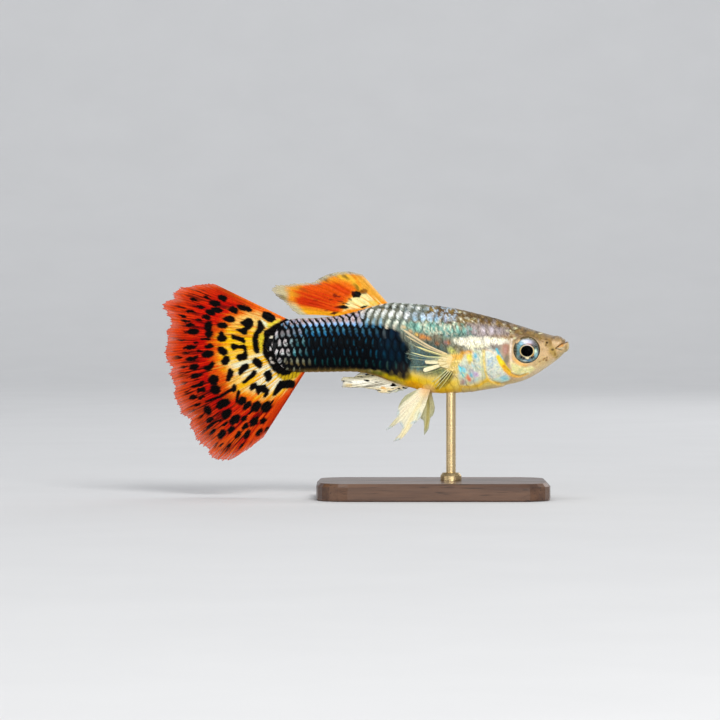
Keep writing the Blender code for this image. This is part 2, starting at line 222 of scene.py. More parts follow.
def section(back, phi):
    """Points of the right half of the body, in mm without the sweep: phi runs from 0 on the back to pi on the belly. Returns x, out, z."""
    t = t_at(back)
    top, low, wide, half = (f(t) for f in BODY[1:])
    tail = smooth(4.0, 18.0, back)
    s, c = np.sin(phi), np.cos(phi)
    power = np.where(c > 0, BACK_SQUARE, BELLY_SQUARE) * (1 - tail) + 2.0 * tail
    power = 2.0 + (power - 2.0) * np.minimum(1.0, back / 1.2)
    out = half * np.abs(s) ** (2 / power)
    z = wide + np.where(c > 0, top - wide, wide - low) * np.sign(c) * np.abs(c) ** (2 / power)
    return SNOUT_X - back, out, z


def line_top(u):
    t = t_at(SNOUT_X - (u - 365.0) * K)
    return 498.0 - BODY[1](t) / K


def line_low(u):
    t = t_at(SNOUT_X - (u - 365.0) * K)
    return 498.0 - BODY[2](t) / K


# Tables over distance behind the lip and place round the half girth, 0 on the back and 1 on the belly
NB, NS = 620, 241
_backs = np.linspace(0.0, 30.6, NB)
_phi = np.linspace(0, math.pi, 721)
_bx, _bo, _bz = section(_backs[:, None], _phi[None, :])
_arc = np.concatenate(
    [np.zeros((NB, 1)), np.cumsum(np.hypot(np.diff(_bo, axis=1), np.diff(_bz, axis=1)), axis=1)], axis=1
)
GIRTH = _arc[:, -1]
_sig = np.linspace(0, 1, NS)
_tab = np.empty((NB, NS, 3))
for _k in range(NB):
    _w = _arc[_k] / GIRTH[_k]
    _tab[_k, :, 0] = SNOUT_X - _backs[_k]
    _tab[_k, :, 1] = np.interp(_sig, _w, _bo[_k])
    _tab[_k, :, 2] = np.interp(_sig, _w, _bz[_k])
MID_ARC = np.array([np.interp(math.pi / 2, _phi, _arc[k]) for k in range(NB)])


def girth(back):
    return np.interp(back, _backs, GIRTH)


def _sample(back, sig):
    fb = np.clip(back / 30.6 * (NB - 1), 0, NB - 1.001)
    fs = np.clip(sig * (NS - 1), 0, NS - 1.001)
    i, j = fb.astype(int), fs.astype(int)
    a, b = (fb - i)[..., None], (fs - j)[..., None]
    return (
        _tab[i, j] * (1 - a) * (1 - b) + _tab[i + 1, j] * a * (1 - b) + _tab[i, j + 1] * (1 - a) * b + _tab[i + 1, j + 1] * a * b
    )


def on_body(back, arc, side):
    """Points and outward directions on the body, in mm. arc is from the back's midline, in mm, and may run past either midline. side is -1 right, 1 left."""
    back, arc = np.broadcast_arrays(np.asarray(back, float), np.asarray(arc, float))
    whole = girth(back)
    sig = arc / whole
    flip = np.where((sig < 0) | (sig > 1), -1.0, 1.0)
    sig = np.where(sig < 0, -sig, np.where(sig > 1, 2 - sig, sig))
    eps = 0.012
    p = _sample(back, sig)
    db = _sample(np.clip(back + 0.08, 0, 30.59), sig) - _sample(np.clip(back - 0.08, 0, 30.59), sig)
    ds = _sample(back, np.clip(sig + eps, 0, 1)) - _sample(back, np.clip(sig - eps, 0, 1))
    n = np.cross(ds, db)
    n = n / np.maximum(np.linalg.norm(n, axis=-1, keepdims=True), 1e-12)
    n = np.where((n[..., 1:2] < 0) & (p[..., 1:2] > 0.25), -n, n)
    mid = _sample(back, np.full(back.shape, 0.5))
    away = p - mid
    away[..., 1] = p[..., 1]
    wrong = (n * away).sum(-1, keepdims=True) < 0
    n = np.where(wrong, -n, n)
    turn = side * flip
    p = p.copy()
    n = n.copy()
    p[..., 1] = p[..., 1] * turn + sweep(back)
    n[..., 1] = n[..., 1] * turn
    return p, n


# ------------------------------------------------------------------ the head's relief

EYE_U, EYE_V, EYE_R = 526.0, 349.7, 13.6
CLEFT = ((555.6, 347.9), (558.4, 345.8), (560.8, 343.9), (563.2, 343.4), (566.0, 342.4), (571.0, 339.8))
COVER_EDGE = ((490, 337), (485, 343), (482.3, 351), (482.4, 362), (484.6, 372), (489, 379.5), (497, 384.5), (507, 384))
CHEEK_LINE = ((497.0, 350.5), (500.0, 358.0), (504.5, 367.0), (510.0, 373.0), (518.0, 376.0), (527.5, 373.6))


LOWER_CLEFT = ((555.9, 348.4), (558.6, 349.3), (561.5, 350.0))


def scaled_zone(u, v):
    """1 where the body carries scales, 0 on the face and gill cover."""
    front = np.interp(v, [300, 318, 330, 336, 340, 346, 350, 356, 386, 400], [524, 522, 512, 506, 500, 492, 484, 480.5, 482, 489])
    return 1 - smooth(-1.2, 1.2, u - front + 1.6 * (cloud(u, v, 7, 31) - 0.5))


def flank_out(u, v):
    """The body's half width, in mm, at each place of the side view."""
    x, z = from_px(np.asarray(u, float), np.asarray(v, float))
    shape = x.shape
    _, out, height = section((SNOUT_X - x).reshape(-1, 1), np.linspace(0.02, math.pi - 0.02, 120)[None, :])
    out = np.broadcast_to(out, height.shape)
    flat = z.reshape(-1)
    return np.array([np.interp(flat[k], height[k, ::-1], out[k, ::-1]) for k in range(len(flat))]).reshape(shape)


def eye_room(x, out, z):
    """The flank's distance from the midline, eased in round the eye's rim. x, z in mm."""
    u, v = to_px(x, z)
    r = np.hypot(u - EYE_U, v - EYE_V) * K
    return out + (np.minimum(out, 1.86 + 0.05 * smooth(0, -8, v - EYE_V)) - out) * smooth(2.5, 1.45, r)


def relief(u, v):
    """How far the skin stands out or in, in mm, on the face."""
    h = np.zeros(np.shape(u))
    d, a, s = stroke(u, v, *CLEFT)
    inside = smooth(-0.02, 0.10, a)
    wide = 0.55 + 0.25 * a
    h -= 0.22 * np.exp(-((d / wide) ** 2)) * inside * (1 - 0.78 * smooth(561.5, 565.0, u))
    h += 0.060 * np.exp(-(((s - 2.2) / 1.5) ** 2)) * smooth(555, 560, u) * smooth(0.02, 0.15, a)
    h += 0.050 * np.exp(-(((s + 2.6) / 1.3) ** 2)) * smooth(556, 560, u)
    h -= 0.09 * np.exp(-((stroke(u, v, *LOWER_CLEFT)[0] / 0.6) ** 2))
    h -= 0.025 * np.exp(-((stroke(u, v, (563.6, 344.0), (563.4, 347.0), (564.4, 350.5))[0] / 0.6) ** 2))
    h += 0.075 * blob(u, v, 556.8, 341.6, 5.0, 4.6, 10, 0.45)
    h += 0.045 * blob(u, v, 562.2, 340.6, 2.8, 3.0, 40, 0.5)
    h -= 0.045 * np.exp(-((stroke(u, v, (553.0, 346.4), (551.8, 342.0), (553.6, 337.2))[0] / 0.9) ** 2))
    h -= 0.03 * np.exp(-((stroke(u, v, (560.2, 344.0), (560.6, 341.4), (559.6, 338.4))[0] / 0.7) ** 2))
    h -= 0.030 * np.exp(-((stroke(u, v, (555.6, 348.8), (554.4, 353.5), (555.6, 357.0))[0] / 0.8) ** 2))
    h -= 0.02 * np.exp(-((stroke(u, v, (565, 350.0), (560, 355.0), (552, 360.5), (545, 364.5))[0] / 1.0) ** 2))
    # nostrils
    for cx, cy, r in ((546.4, 342.3, 0.95), (540.6, 338.4, 0.70)):
        q = np.hypot(u - cx, v - cy)
        h += -0.15 * np.exp(-((q / r) ** 2)) + 0.010 * np.exp(-(((q - 2.3 * r) / 0.9) ** 2))
    # the gill cover's free edge, and the cheek's
    d, a, s = stroke(u, v, *COVER_EDGE)
    ends = smooth(0.0, 0.08, a) * (1 - smooth(0.93, 1.0, a))
    front = s < 0
    h += np.where(front, 0.115 * np.exp(-((d / 6.5) ** 2)), 0.0) * ends
    h -= np.where(front, 0.0, 0.085 * np.exp(-((d / 1.5) ** 2))) * ends
    d, a, s = stroke(u, v, *CHEEK_LINE)
    ends = smooth(0.0, 0.1, a) * (1 - smooth(0.9, 1.0, a))
    h -= 0.07 * np.exp(-((d / 1.0) ** 2)) * ends
    h += np.where(s > 0, 0.05 * np.exp(-(((d - 2.2) / 2.2) ** 2)), 0) * ends
    # low plates and ridges of the gill cover, with fine lines that spread from its upper front corner
    q = np.hypot(u - 497.0, v - 350.0)
    turn = np.degrees(np.arctan2(v - 350.0, u - 497.0))
    h += 0.010 * np.sin(turn / 2.6 + 0.6 * np.sin(q / 3)) * blob(u, v, 491, 363, 9, 17, 0, 0.5)
    # rim of the eye
    q = np.hypot(u - EYE_U, v - EYE_V)
    h += 0.012 * np.exp(-(((q - EYE_R - 1.9) / 1.6) ** 2)) * smooth(-6, 4, EYE_V - v + 4)
    h -= 0.035 * np.exp(-(((q - EYE_R - 4.3) / 0.8) ** 2)) * smooth(0, 8, v - EYE_V)
    for cx, cy in ((511, 333.5), (517.5, 331.2), (524.5, 331), (532, 332.6), (538.5, 335.6), (506.6, 337.5), (541, 361), (536, 365.5), (546, 357), (549.5, 361.5)):
        h -= 0.05 * np.exp(-((np.hypot(u - cx, v - cy) / 0.7) ** 2))
    h += 0.016 * (cloud(u, v, 5, 40) - 0.5)
    return h * smooth(478, 484, u)


# ------------------------------------------------------------------ markings of the body

CREAM = rgb(240, 234, 212)
BLACK = rgb(7, 8, 11)


def dark_flank(u, v):
    """The blue-black field along the flank and tail root."""
    right = np.interp(v, [316, 322, 328, 332, 340, 346, 362, 382], [372, 380, 390, 399, 403, 408, 411, 407])
    m = 1 - smooth(-3.5, 3.5, u - right + 5 * (cloud(u, v, 8, 3) - 0.5))
    m = m * smooth(-1.5, 1.5, v - np.interp(u, [255, 268, 300, 340, 372, 385, 400], [316, 318, 324.5, 326, 324.5, 325, 330]) + 2.5 * (cloud(u, v, 5, 2) - 0.5))
    low = np.interp(u, [255, 300, 330, 355, 375, 395, 412], [376, 375, 372.2, 370.0, 370.5, 376.0, 381])
    m = m * (1 - smooth(-1.8, 1.8, v - low + 4 * (cloud(u, v, 5, 4) - 0.5)))
    return m


def ground(u, v):
    """Colour of the skin, and of the scales between their glints."""
    top, low = line_top(u), line_low(u)
    h = (v - top) / np.maximum(low - top, 1.0)
    grain = cloud(u, v, 6, 5)
    fine = cloud(u, v, 2.2, 6)
    sway = 1.6 * (cloud(u, v, 1.8, 31, 2) - 0.5)
    cell, edge = facets(u + sway, v + 1.6 * (cloud(u + 50, v, 1.8, 32, 2) - 0.5), 2.3, 1)
    cell2, edge2 = facets(u + 40, v, 1.5, 2)
    # back: warm brown with olive blotches and a paler line along the very top
    col = np.broadcast_to(rgb(104, 83, 54), np.shape(u) + (3,)).copy()
    col = paint(col, smooth(0.46, 0.66, cloud(u, v, 7, 22, 2)) * 0.85, rgb(146, 121, 62))
    col = paint(col, smooth(0.58, 0.78, grain) * 0.6, rgb(84, 66, 42))
    col = paint(col, smooth(0.72, 0.84, cloud(u, v, 3.2, 23, 2)) * 0.55, rgb(176, 158, 108))
    col = paint(col, smooth(3.2, 0.4, v - top) * smooth(380, 420, u) * 0.65, rgb(112, 99, 76))
    mott = cloud(u * 1.1, v, 2.6, 27, 2)
    col = paint(col, smooth(0.55, 0.72, mott) * smooth(470, 520, u + 60 * (cloud(u, v, 9, 28) - 0.5) + 40) * 0.55, rgb(152, 118, 66))
    col = paint(col, smooth(0.44, 0.30, mott) * 0.55, rgb(74, 58, 36))
    # painted highlights: pale sparkles of light over the upper back, where the scales catch it
    painted_sparkle = cloud(u * 1.3, v, 1.7, 36, 2)
    col = paint(col, smooth(0.58, 0.70, painted_sparkle) * smooth(430, 444, u) * smooth(520, 506, u) * smooth(0.06, 0.12, h) * 0.62, rgb(204, 192, 148))
    col = paint(col, smooth(0.68, 0.76, painted_sparkle) * smooth(428, 436, u) * smooth(480, 466, u) * smooth(0.05, 0.10, h) * 0.8, rgb(232, 230, 210))
    fleck = region(u, v, ((402, 301), (430, 299), (450, 304), (458, 312), (456, 320), (440, 322), (404, 321)), 2.0)
    col = paint(col, fleck * smooth(0.54, 0.64, cloud(u * 1.15, v * 0.85, 2.0, 37, 2)) * 0.80, rgb(190, 212, 230))
    # flank above the middle
    side = smooth(0.17, 0.34, h + 0.12 * (grain - 0.5))
    col = paint(col, side, rgb(150, 141, 132))
    mid = smooth(478, 455, u) * smooth(385, 405, u)
    col = paint(col, mid * smooth(0.15, 0.3, h), rgb(128, 134, 118))
    col = paint(col, blob(u, v, 421, 328, 34, 5.5, 8, 0.6) * 0.8, rgb(116, 164, 148))
    col = paint(col, blob(u, v, 432, 343, 22, 9, 12, 0.6) * 0.8, rgb(112, 108, 88))
    col = paint(col, blob(u, v, 437, 349, 10, 5, 0, 0.6) * 0.6, rgb(96, 92, 70))
    col = paint(col, blob(u, v, 440, 338, 8, 7, 0, 0.6) * 0.6 * smooth(0.4, 0.6, fine), rgb(110, 66, 40))
    col = paint(col, blob(u, v, 424, 364, 25, 21, 0, 0.5) * 0.95, rgb(54, 92, 96))
    col = paint(col, blob(u, v, 420, 359, 14, 9, 0, 0.6) * 0.6 * smooth(0.45, 0.6, cloud(u * 2.2, v * 0.5, 6, 24)), rgb(44, 100, 128))
    col = paint(col, blob(u, v, 441, 371, 13, 11, 0, 0.6) * 0.8, rgb(122, 132, 76))
    col = paint(col, blob(u, v, 440, 377, 11, 8, 0, 0.5) * smooth(0.5, 0.65, fine) * 0.7, rgb(196, 196, 96))
    # cheek, snout and throat
    col = paint(col, smooth(492, 518, u) * smooth(0.14, 0.30, h), rgb(212, 178, 131))
    col = paint(col, smooth(536, 552, u) * 0.5, rgb(212, 177, 130))
    col = paint(col, smooth(524, 552, u) * smooth(0.20, 0.03, h) * 0.7, rgb(122, 106, 80))
    col = paint(col, smooth(505, 530, u) * smooth(0.74, 0.94, h), rgb(226, 202, 160))
    col = paint(col, smooth(552, 560, u) * smooth(0.60, 0.80, h) * 0.7, rgb(176, 158, 108))
    col = paint(col, blob(u, v, 545, 352, 8, 9, 0, 0.6) * 0.6, rgb(213, 180, 134))
    col = paint(col, blob(u, v, 541, 362, 8, 5, -20, 0.6) * 0.5, rgb(208, 184, 122))
    # belly
    col = paint(col, smooth(514, 480, u) * smooth(0.74, 0.86, h), rgb(255, 224, 122))
    col = paint(col, smooth(0.5, 0.7, grain) * smooth(514, 480, u) * smooth(436, 450, u) * smooth(0.74, 0.86, h) * 0.6, rgb(246, 230, 144))
    col = paint(col, smooth(476, 440, u) * smooth(398, 416, u) * smooth(0.80, 0.88, h), rgb(255, 212, 56))
    col = paint(col, blob(u, v, 436, 390.5, 22, 3.6, 3, 0.5), rgb(255, 200, 36))
    col = paint(col, blob(u, v, 407, 379.5, 14, 5.4, 20, 0.4), rgb(250, 206, 8))
    col = paint(col, blob(u, v, 416, 386, 12, 4.2, 18, 0.5), rgb(248, 176, 18))
    col = paint(col, blob(u, v, 428, 391, 6, 7, 40, 0.5) * 0.85, rgb(240, 198, 134))
    col = paint(col, smooth(440, 470, u) * smooth(540, 506, u) * smooth(-5.0, -1.0, v - low), rgb(226, 200, 140))
    # breast and gill cover: a mosaic of metallic facets
    breast = region(u, v, ((458, 361), (463, 353.5), (472, 349), (483, 350), (487, 375), (478, 383), (470, 386.5), (461, 388), (459, 380), (456, 370)), 1.6)
    cover = region(u, v, ((484, 351), (490, 347), (496, 351), (499, 362), (506, 373), (510, 378), (499, 382.5), (490, 380), (485.5, 373)), 1.2)
    metal = np.maximum(breast, cover)
    col = paint(col, breast, rgb(212, 216, 180))
    col = paint(col, cover, rgb(234, 238, 220))
    pick = cell[..., 0]
    for lo, hi, c in (
        (0.00, 0.16, (226, 224, 186)), (0.16, 0.32, (176, 206, 196)), (0.32, 0.46, (180, 194, 188)), (0.46, 0.58, (186, 172, 190)),
        (0.58, 0.70, (214, 210, 128)), (0.70, 0.82, (150, 198, 214)), (0.82, 0.91, (232, 222, 210)), (0.91, 1.01, (172, 182, 158)),
    ):
        col = paint(col, np.maximum(breast * 0.72, cover * 0.38) * ((pick >= lo) & (pick < hi)) * smooth(0.0, 0.25, edge), rgb(*c))
    col = paint(col, metal * (cell2[..., 1] > 0.72) * smooth(0.0, 0.2, edge2) * 0.55, rgb(240, 240, 224))
    col = paint(col, metal * (cell2[..., 2] > 0.80) * smooth(0.0, 0.2, edge2) * 0.28, rgb(116, 140, 146))
    shape = 0.9 * (fine - 0.5) * 2
    uu, vv = u + shape * 1.2, v + 1.6 * (cloud(u, v, 2.4, 25) - 0.5)
    col = paint(col, region(uu, vv, ((456.4, 365), (458.5, 364), (460.8, 368), (461, 372), (458.6, 371)), 0.7), rgb(112, 236, 252))
    col = paint(col, region(uu, vv, ((461.5, 366.5), (464, 367.5), (466.6, 371), (464, 373), (462, 370)), 0.7) * 0.95, rgb(120, 218, 240))
    col = paint(col, region(uu, vv, ((461.6, 373.5), (463.8, 373), (463.2, 377.5), (461.8, 377)), 0.7) * 0.9, rgb(120, 236, 226))
    col = paint(col, region(uu, vv, ((472.8, 352.5), (476.2, 353), (477, 357.5), (474.6, 358.6), (472.9, 356)), 0.8) * 0.9, rgb(92, 188, 214))
    col = paint(col, region(uu, vv, ((468.6, 373), (471, 372.6), (472.6, 376), (470, 376.6)), 0.7) * 0.9, rgb(104, 206, 232))
    col = paint(col, region(uu, vv, ((465, 376.5), (468, 374.4), (470.5, 378.4), (471, 381.2), (467.6, 380.4)), 0.8), rgb(232, 108, 92))
    col = paint(col, region(uu, vv, ((472.4, 371.5), (477, 371.5), (478.5, 375), (474, 378), (472, 375)), 0.8) * 0.9, rgb(196, 166, 204))
    col = paint(col, region(uu, vv, ((466.2, 354.2), (471, 352.8), (471.8, 360), (469, 363.5), (466.6, 361)), 0.9) * 0.95, rgb(240, 218, 74))
    col = paint(col, region(uu, vv, ((467.6, 360.5), (470.2, 360), (469.4, 364), (467.6, 364)), 0.8) * 0.7, rgb(196, 158, 60))
    col = paint(col, region(uu, vv, ((459, 358.6), (464.6, 356.4), (466.4, 361), (465, 365.6), (461, 364)), 1.0) * 0.85, rgb(226, 232, 206))
    col = paint(col, region(uu, vv, ((474.5, 378), (477.5, 377.6), (478, 382), (475, 383)), 0.8) * 0.8, rgb(186, 226, 226))
    col = paint(col, blob(u, v, 462.5, 381.5, 2.2, 3.0, 20, 0.5) * 0.7, rgb(176, 116, 116))
    col = paint(col, np.exp(-((stroke(u, v, (461.5, 353.8), (466, 351.6), (471.0, 351.2))[0] / 1.3) ** 2)), rgb(242, 168, 46))
    col = paint(col, np.exp(-((stroke(u, v, (450, 358), (456, 356.8), (461.5, 354.6))[0] / 2.3) ** 2)) * 0.9, rgb(246, 184, 62))
    # gill cover
    col = paint(col, region(uu, vv, ((487, 356.5), (494.4, 355.4), (495, 360), (492, 366), (488, 369), (487, 362)), 2.0) * 0.55 * smooth(0.30, 0.55, fine), rgb(140, 182, 212))
    col = paint(col, region(uu, vv, ((486, 351.4), (491.5, 351.4), (492, 355), (487, 356)), 0.9) * 0.6, rgb(206, 214, 208))
    col = paint(col, region(uu, vv, ((490, 379.4), (495, 378.0), (507, 377.6), (508.4, 380.2), (500, 382.8), (493, 382)), 1.0) * 0.95, rgb(206, 238, 220))
    col = paint(col, region(uu, vv, ((498.5, 376.4), (506, 375.6), (509, 379.4), (502, 380)), 1.0) * 0.8, rgb(150, 214, 226))
    d, a, s = stroke(u, v, (485.2, 349.4), (490, 350.6), (494.5, 353.8))
    col = paint(col, np.exp(-((d / 0.9) ** 2)) * 0.7, rgb(238, 206, 164))
    d, a, s = stroke(u, v, (483.0, 350.5), (483.2, 362), (484.8, 372), (487.0, 378.6))
    col = paint(col, np.exp(-((d / 1.35) ** 2)) * 0.95, rgb(240, 208, 104))
    d, a, s = stroke(u, v, (481.0, 357), (481.2, 366), (483.0, 378))
    col = paint(col, np.exp(-((d / 1.2) ** 2)) * 0.7, rgb(240, 240, 176))
    d, a, s = stroke(u, v, (459.6, 390), (461, 386.4), (468, 386.4), (478, 385.2), (484, 381.4), (487.5, 379.8), (492, 381.6), (499, 383.0))
    col = paint(col, np.exp(-((d / 1.7) ** 2)) * 0.9, rgb(247, 196, 46))
    d, a, s = stroke(u, v, (470, 385), (476, 382.4), (481, 379.6))
    col = paint(col, np.exp(-((d / 1.2) ** 2)) * 0.7, rgb(246, 224, 148))
    # cream stripe, with a dark teal line over its rear half
    band = smooth(440, 455, u) * (1 - smooth(472, 482, u))
    d = np.abs(v - 335.0)
    col = paint(col, np.exp(-((d / 1.7) ** 2)) * band * 0.85, rgb(66, 104, 98))
    upper = np.interp(u, [452, 462, 470, 484, 500, 511], [339.0, 337.0, 336.2, 336.8, 338.2, 340.0])
    lower = np.interp(u, [452, 462, 470, 480, 490, 498, 511], [343.0, 345.5, 348.5, 347.5, 344.4, 343.6, 344.5])
    wave = 1.8 * (cloud(u, v, 4.5, 26, 2) - 0.5) + 3.4 * (cloud(u * 2.4, v * 0.5, 3.0, 30, 2) - 0.5)
    stripe = smooth(-0.9, 0.9, v - upper + wave) * smooth(-0.9, 0.9, lower - v + wave) * smooth(450, 459, u + 3 * wave) * (1 - smooth(507.5, 510.0, u))
    col = paint(col, stripe, CREAM)
    col = paint(col, stripe * smooth(0.52, 0.70, cloud(u * 1.8, v * 0.8, 2.6, 14, 2)) * 0.6, rgb(226, 222, 184))
    col = paint(col, stripe * smooth(343.5, 346.5, v) * 0.45, rgb(232, 230, 176))
    col = paint(col, stripe * np.exp(-(((u - 483.6) / 0.8) ** 2)) * 0.5, rgb(170, 166, 150))
    # behind and round the eye
    col = paint(col, blob(u, v, 505.3, 348.5, 3.9, 6.2, 0, 0.5) * 0.9, rgb(174, 126, 104))
    col = paint(col, blob(u, v, 504.6, 350, 1.6, 3.6, 0, 0.6) * 0.7, rgb(206, 160, 150))
    col = paint(col, blob(u, v, 505.5, 359.5, 2.6, 5.5, 20, 0.5) * 0.75, rgb(124, 116, 96))
    col = paint(col, blob(u, v, 494.5, 347.8, 5.0, 2.2, 0, 0.6) * 0.7, rgb(120, 112, 100))
    d, a, s = stroke(u, v, (511.0, 339), (509.6, 352), (510.8, 366))
    col = paint(col, np.exp(-((d / 1.15) ** 2)) * (0.65 + 0.35 * smooth(0.4, 0.6, cloud(u, v, 3, 15))), rgb(246, 228, 206))
    cheek = region(u, v, ((509.5, 361), (516, 364.5), (524, 366.5), (531, 366.0), (534.5, 368.5), (529, 373.5), (519, 375.5), (511.5, 372.5)), 1.8)
    col = paint(col, cheek, rgb(232, 222, 152))
    col = paint(col, cheek * smooth(0.50, 0.64, cloud(u, v, 3, 16)) * 0.6, rgb(246, 244, 196))
    col = paint(col, cheek * smooth(0.44, 0.32, cloud(u, v, 3, 16)) * 0.45, rgb(186, 196, 150))
    d, a, s = stroke(u, v, (495.8, 348.8), (498.2, 353.5), (501.4, 358.8))
    col = paint(col, np.exp(-((d / 1.15) ** 2)) * (1 - 0.4 * a), rgb(72, 190, 214))
    col = paint(col, np.exp(-(((d - 0.2) / 0.7) ** 2)) * smooth(0.3, 0.6, a) * 0.6, rgb(170, 236, 244))
    d, a, s = stroke(u, v, (497.4, 356.5), (500.2, 361.5), (503.6, 366.6), (508.6, 371.4))
    col = paint(col, 1 - smooth(-0.8, 0.8, d - (2.9 - 0.9 * np.abs(a - 0.45) * 2)), rgb(250, 214, 44))
    col = paint(col, 1 - smooth(-0.8, 0.8, np.hypot(u - 500.8, v - 361.5) - 2.0), rgb(255, 230, 48))
    d, a, s = stroke(u, v, (504.5, 369.4), (508.5, 373.2), (513.5, 375.6), (519.5, 376.2), (527.5, 373.2))
    col = paint(col, np.exp(-((d / (2.1 - 1.0 * a)) ** 4)) * (1 - 0.35 * a), rgb(244, 180, 52))
    col = paint(col, blob(u, v, 503.2, 366.0, 1.8, 1.4, 40, 0.5) * 0.8, rgb(224, 138, 14))
    q = np.hypot(u - EYE_U, v - EYE_V)
    under = np.exp(-(((q - EYE_R - 1.5) / 1.4) ** 2))
    col = paint(col, under * smooth(4, 11, v - EYE_V) * smooth(5, -4, u - EYE_U) * 0.9, rgb(238, 178, 82))
    col = paint(col, under * smooth(-3, -10, v - EYE_V) * 0.75, rgb(126, 100, 66))
    # lilac and silver over the shoulder
    col = paint(col, region(u, v, ((466, 322), (480, 323.5), (506, 327), (508, 335.5), (480, 336), (466, 334)), 2.0) * 0.8, rgb(150, 138, 138))
    col = paint(col, blob(u, v, 500, 336, 9, 1.8, 4, 0.6) * 0.6, rgb(124, 98, 76))
    # gold and orange flecks along the mid line of the trunk
    for cx, cy, r, c in (
        (422.4, 336.8, 2.4, (252, 146, 30)), (428.2, 338.3, 1.9, (226, 148, 72)), (409.8, 330.8, 2.0, (240, 172, 104)),
        (403.4, 326.9, 1.9, (238, 182, 108)), (384.4, 309.6, 2.6, (240, 194, 96)), (416.8, 334.2, 1.6, (232, 184, 92)),
        (436.5, 343.0, 1.7, (176, 108, 62)), (447.0, 342.0, 2.1, (190, 116, 64)), (410.6, 320.5, 1.9, (226, 188, 148)), (416.6, 321.8, 1.7, (220, 190, 160)),
        (440.0, 334.5, 1.4, (128, 84, 62)), (450.5, 349.5, 2.6, (190, 196, 110)), (454, 352.5, 3, (202, 196, 96)), (445.5, 334.5, 1.6, (88, 118, 168)),
        (458, 348.5, 3.2, (122, 100, 48)), (462.5, 351.8, 1.8, (206, 146, 52)),
    ):
        col = paint(col, blob(uu, vv, cx, cy, r * 1.25, r, 20, 0.7) * 0.88 * (0.55 + 0.45 * smooth(0.35, 0.6, fine)), rgb(*c))
    # yellow skin in front of the palm of the pectoral fin
    near = region(u, v, ((448, 355), (455, 353.6), (462.5, 354.6), (461.4, 360), (457.6, 364.5), (458.4, 370), (457.0, 377), (452.6, 378), (451.6, 371), (446, 371), (443, 366)), 1.3)
    col = paint(col, near, rgb(226, 196, 104))
    col = paint(col, near * smooth(0.50, 0.62, cloud(np.degrees(np.arctan2(v - 362, u - 468)) / 3.0, u * 0.06, 1.0, 35, 2)) * 0.7, rgb(250, 228, 164))
    col = paint(col, near * smooth(361, 356, v) * 0.8, rgb(242, 180, 62))
    # painted shade: dark skin between the lowest rays of the pectoral fin, where the fin shades the body
    under_ray_shade = region(u, v, ((438.0, 385), (440.0, 377.0), (445, 371.6), (451.5, 370.6), (454, 375), (450.5, 381.5), (444.5, 386.8), (434.5, 389.2)), 1.2)
    fan = np.degrees(np.arctan2(v - 362, u - 458))
    col = paint(col, under_ray_shade * (0.55 + 0.4 * smooth(0.42, 0.58, cloud(fan / 3.2, np.hypot(u - 458, v - 362) / 14, 1.0, 29, 2))), rgb(36, 40, 22))
    # pale green and cream, finely broken up, along the turquoise row
    row = region(u, v, ((398, 318), (410, 320), (440, 321), (468, 324), (476, 330), (470, 336), (450, 335.5), (430, 334), (410, 328)), 2.0)
    chip = cloud(u * 1.7, v * 0.65, 2.2, 33, 2)
    col = paint(col, row * smooth(0.50, 0.62, chip) * 0.75 * smooth(466, 446, u), rgb(222, 220, 192))
    col = paint(col, row * smooth(0.50, 0.40, chip) * 0.60, rgb(70, 120, 112))
    col = paint(col, row * smooth(0.56, 0.66, cloud(u * 1.6, v * 0.7, 2.0, 34, 2)) * 0.6, rgb(130, 192, 178))
    # dark skin between the silver scales of the back
    silver = region(u, v, ((346, 330), (350, 296), (384, 296), (424, 298), (428, 311), (420, 321), (404, 323), (394, 332), (380, 328)), 2.2)
    col = paint(col, silver * 0.80, rgb(104, 114, 104))
    col = paint(col, silver * smooth(308.5, 305.0, v) * smooth(384, 400, u) * 0.5, rgb(128, 132, 118))
    # the dark flank
    dark = dark_flank(u, v)
    col = paint(col, smooth(374, 360, u) * smooth(0.3, 2.2, v - top) * smooth(271, 275, u) * smooth(-2.5, -5.0, v - low) * 0.96, rgb(6, 6, 8))
    col = paint(col, smooth(412, 384, u) * smooth(366, 374, v), rgb(112, 112, 26))
    col = paint(col, smooth(396, 380, u) * smooth(371.5, 376.5, v), rgb(176, 126, 36))
    col = paint(col, blob(u, v, 389.5, 376.6, 8.5, 2.6, 17, 0.5), rgb(206, 178, 14))
    col = paint(col, blob(u, v, 378, 373.2, 6, 1.8, 10, 0.5) * 0.8, rgb(96, 110, 26))
    col = paint(col, dark, rgb(3, 6, 10))
    col = paint(col, dark * blob(u, v, 392, 350, 15, 21, 0, 0.5) * 0.85, rgb(3, 20, 33))
    col = paint(col, dark * blob(u, v, 396, 334, 6, 7, 0, 0.6) * 0.7, rgb(3, 22, 42))
    col = paint(col, dark * blob(u, v, 397, 341, 4, 5, 0, 0.6) * 0.8, rgb(3, 7, 12))
    col = paint(col, dark * blob(u, v, 403, 372, 10, 9, 20, 0.5) * 0.85, rgb(34, 30, 30))
    col = paint(col, smooth(-2, 3, v - (line_low(u) - 3.4)) * smooth(392, 370, u) * smooth(284, 300, u) * 0.8, rgb(104, 84, 40))
    col = paint(col, smooth(2.0, 0.4, low - v) * smooth(392, 370, u) * smooth(300, 310, u) * 0.7, rgb(170, 132, 62))
    # tail root
    col = paint(col, smooth(306, 296, u) * smooth(-2.2, 1.2, v - line_top(u) - 2) * (1 - smooth(-4.5, -1.5, v - low)), BLACK)
    col = paint(col, smooth(284, 276, u), BLACK)
    # dark flecks on the pale scales of the back
    for pts in (
        ((382.5, 307.6), (388, 305.8), (395, 304.6), (398.6, 305.6), (398, 308.0), (391, 308.8), (384, 308.8)),
        ((400, 305.8), (406, 304.6), (408.6, 305.2), (403, 308.0)), ((393.6, 318.2), (397.4, 316.4), (396.4, 318.6), (394, 319)),
        ((379, 307.6), (381.6, 306.6), (381, 311), (379.6, 310.6)),
    ):
        col = paint(col, region(u, v, pts, 0.8), rgb(52, 54, 42))
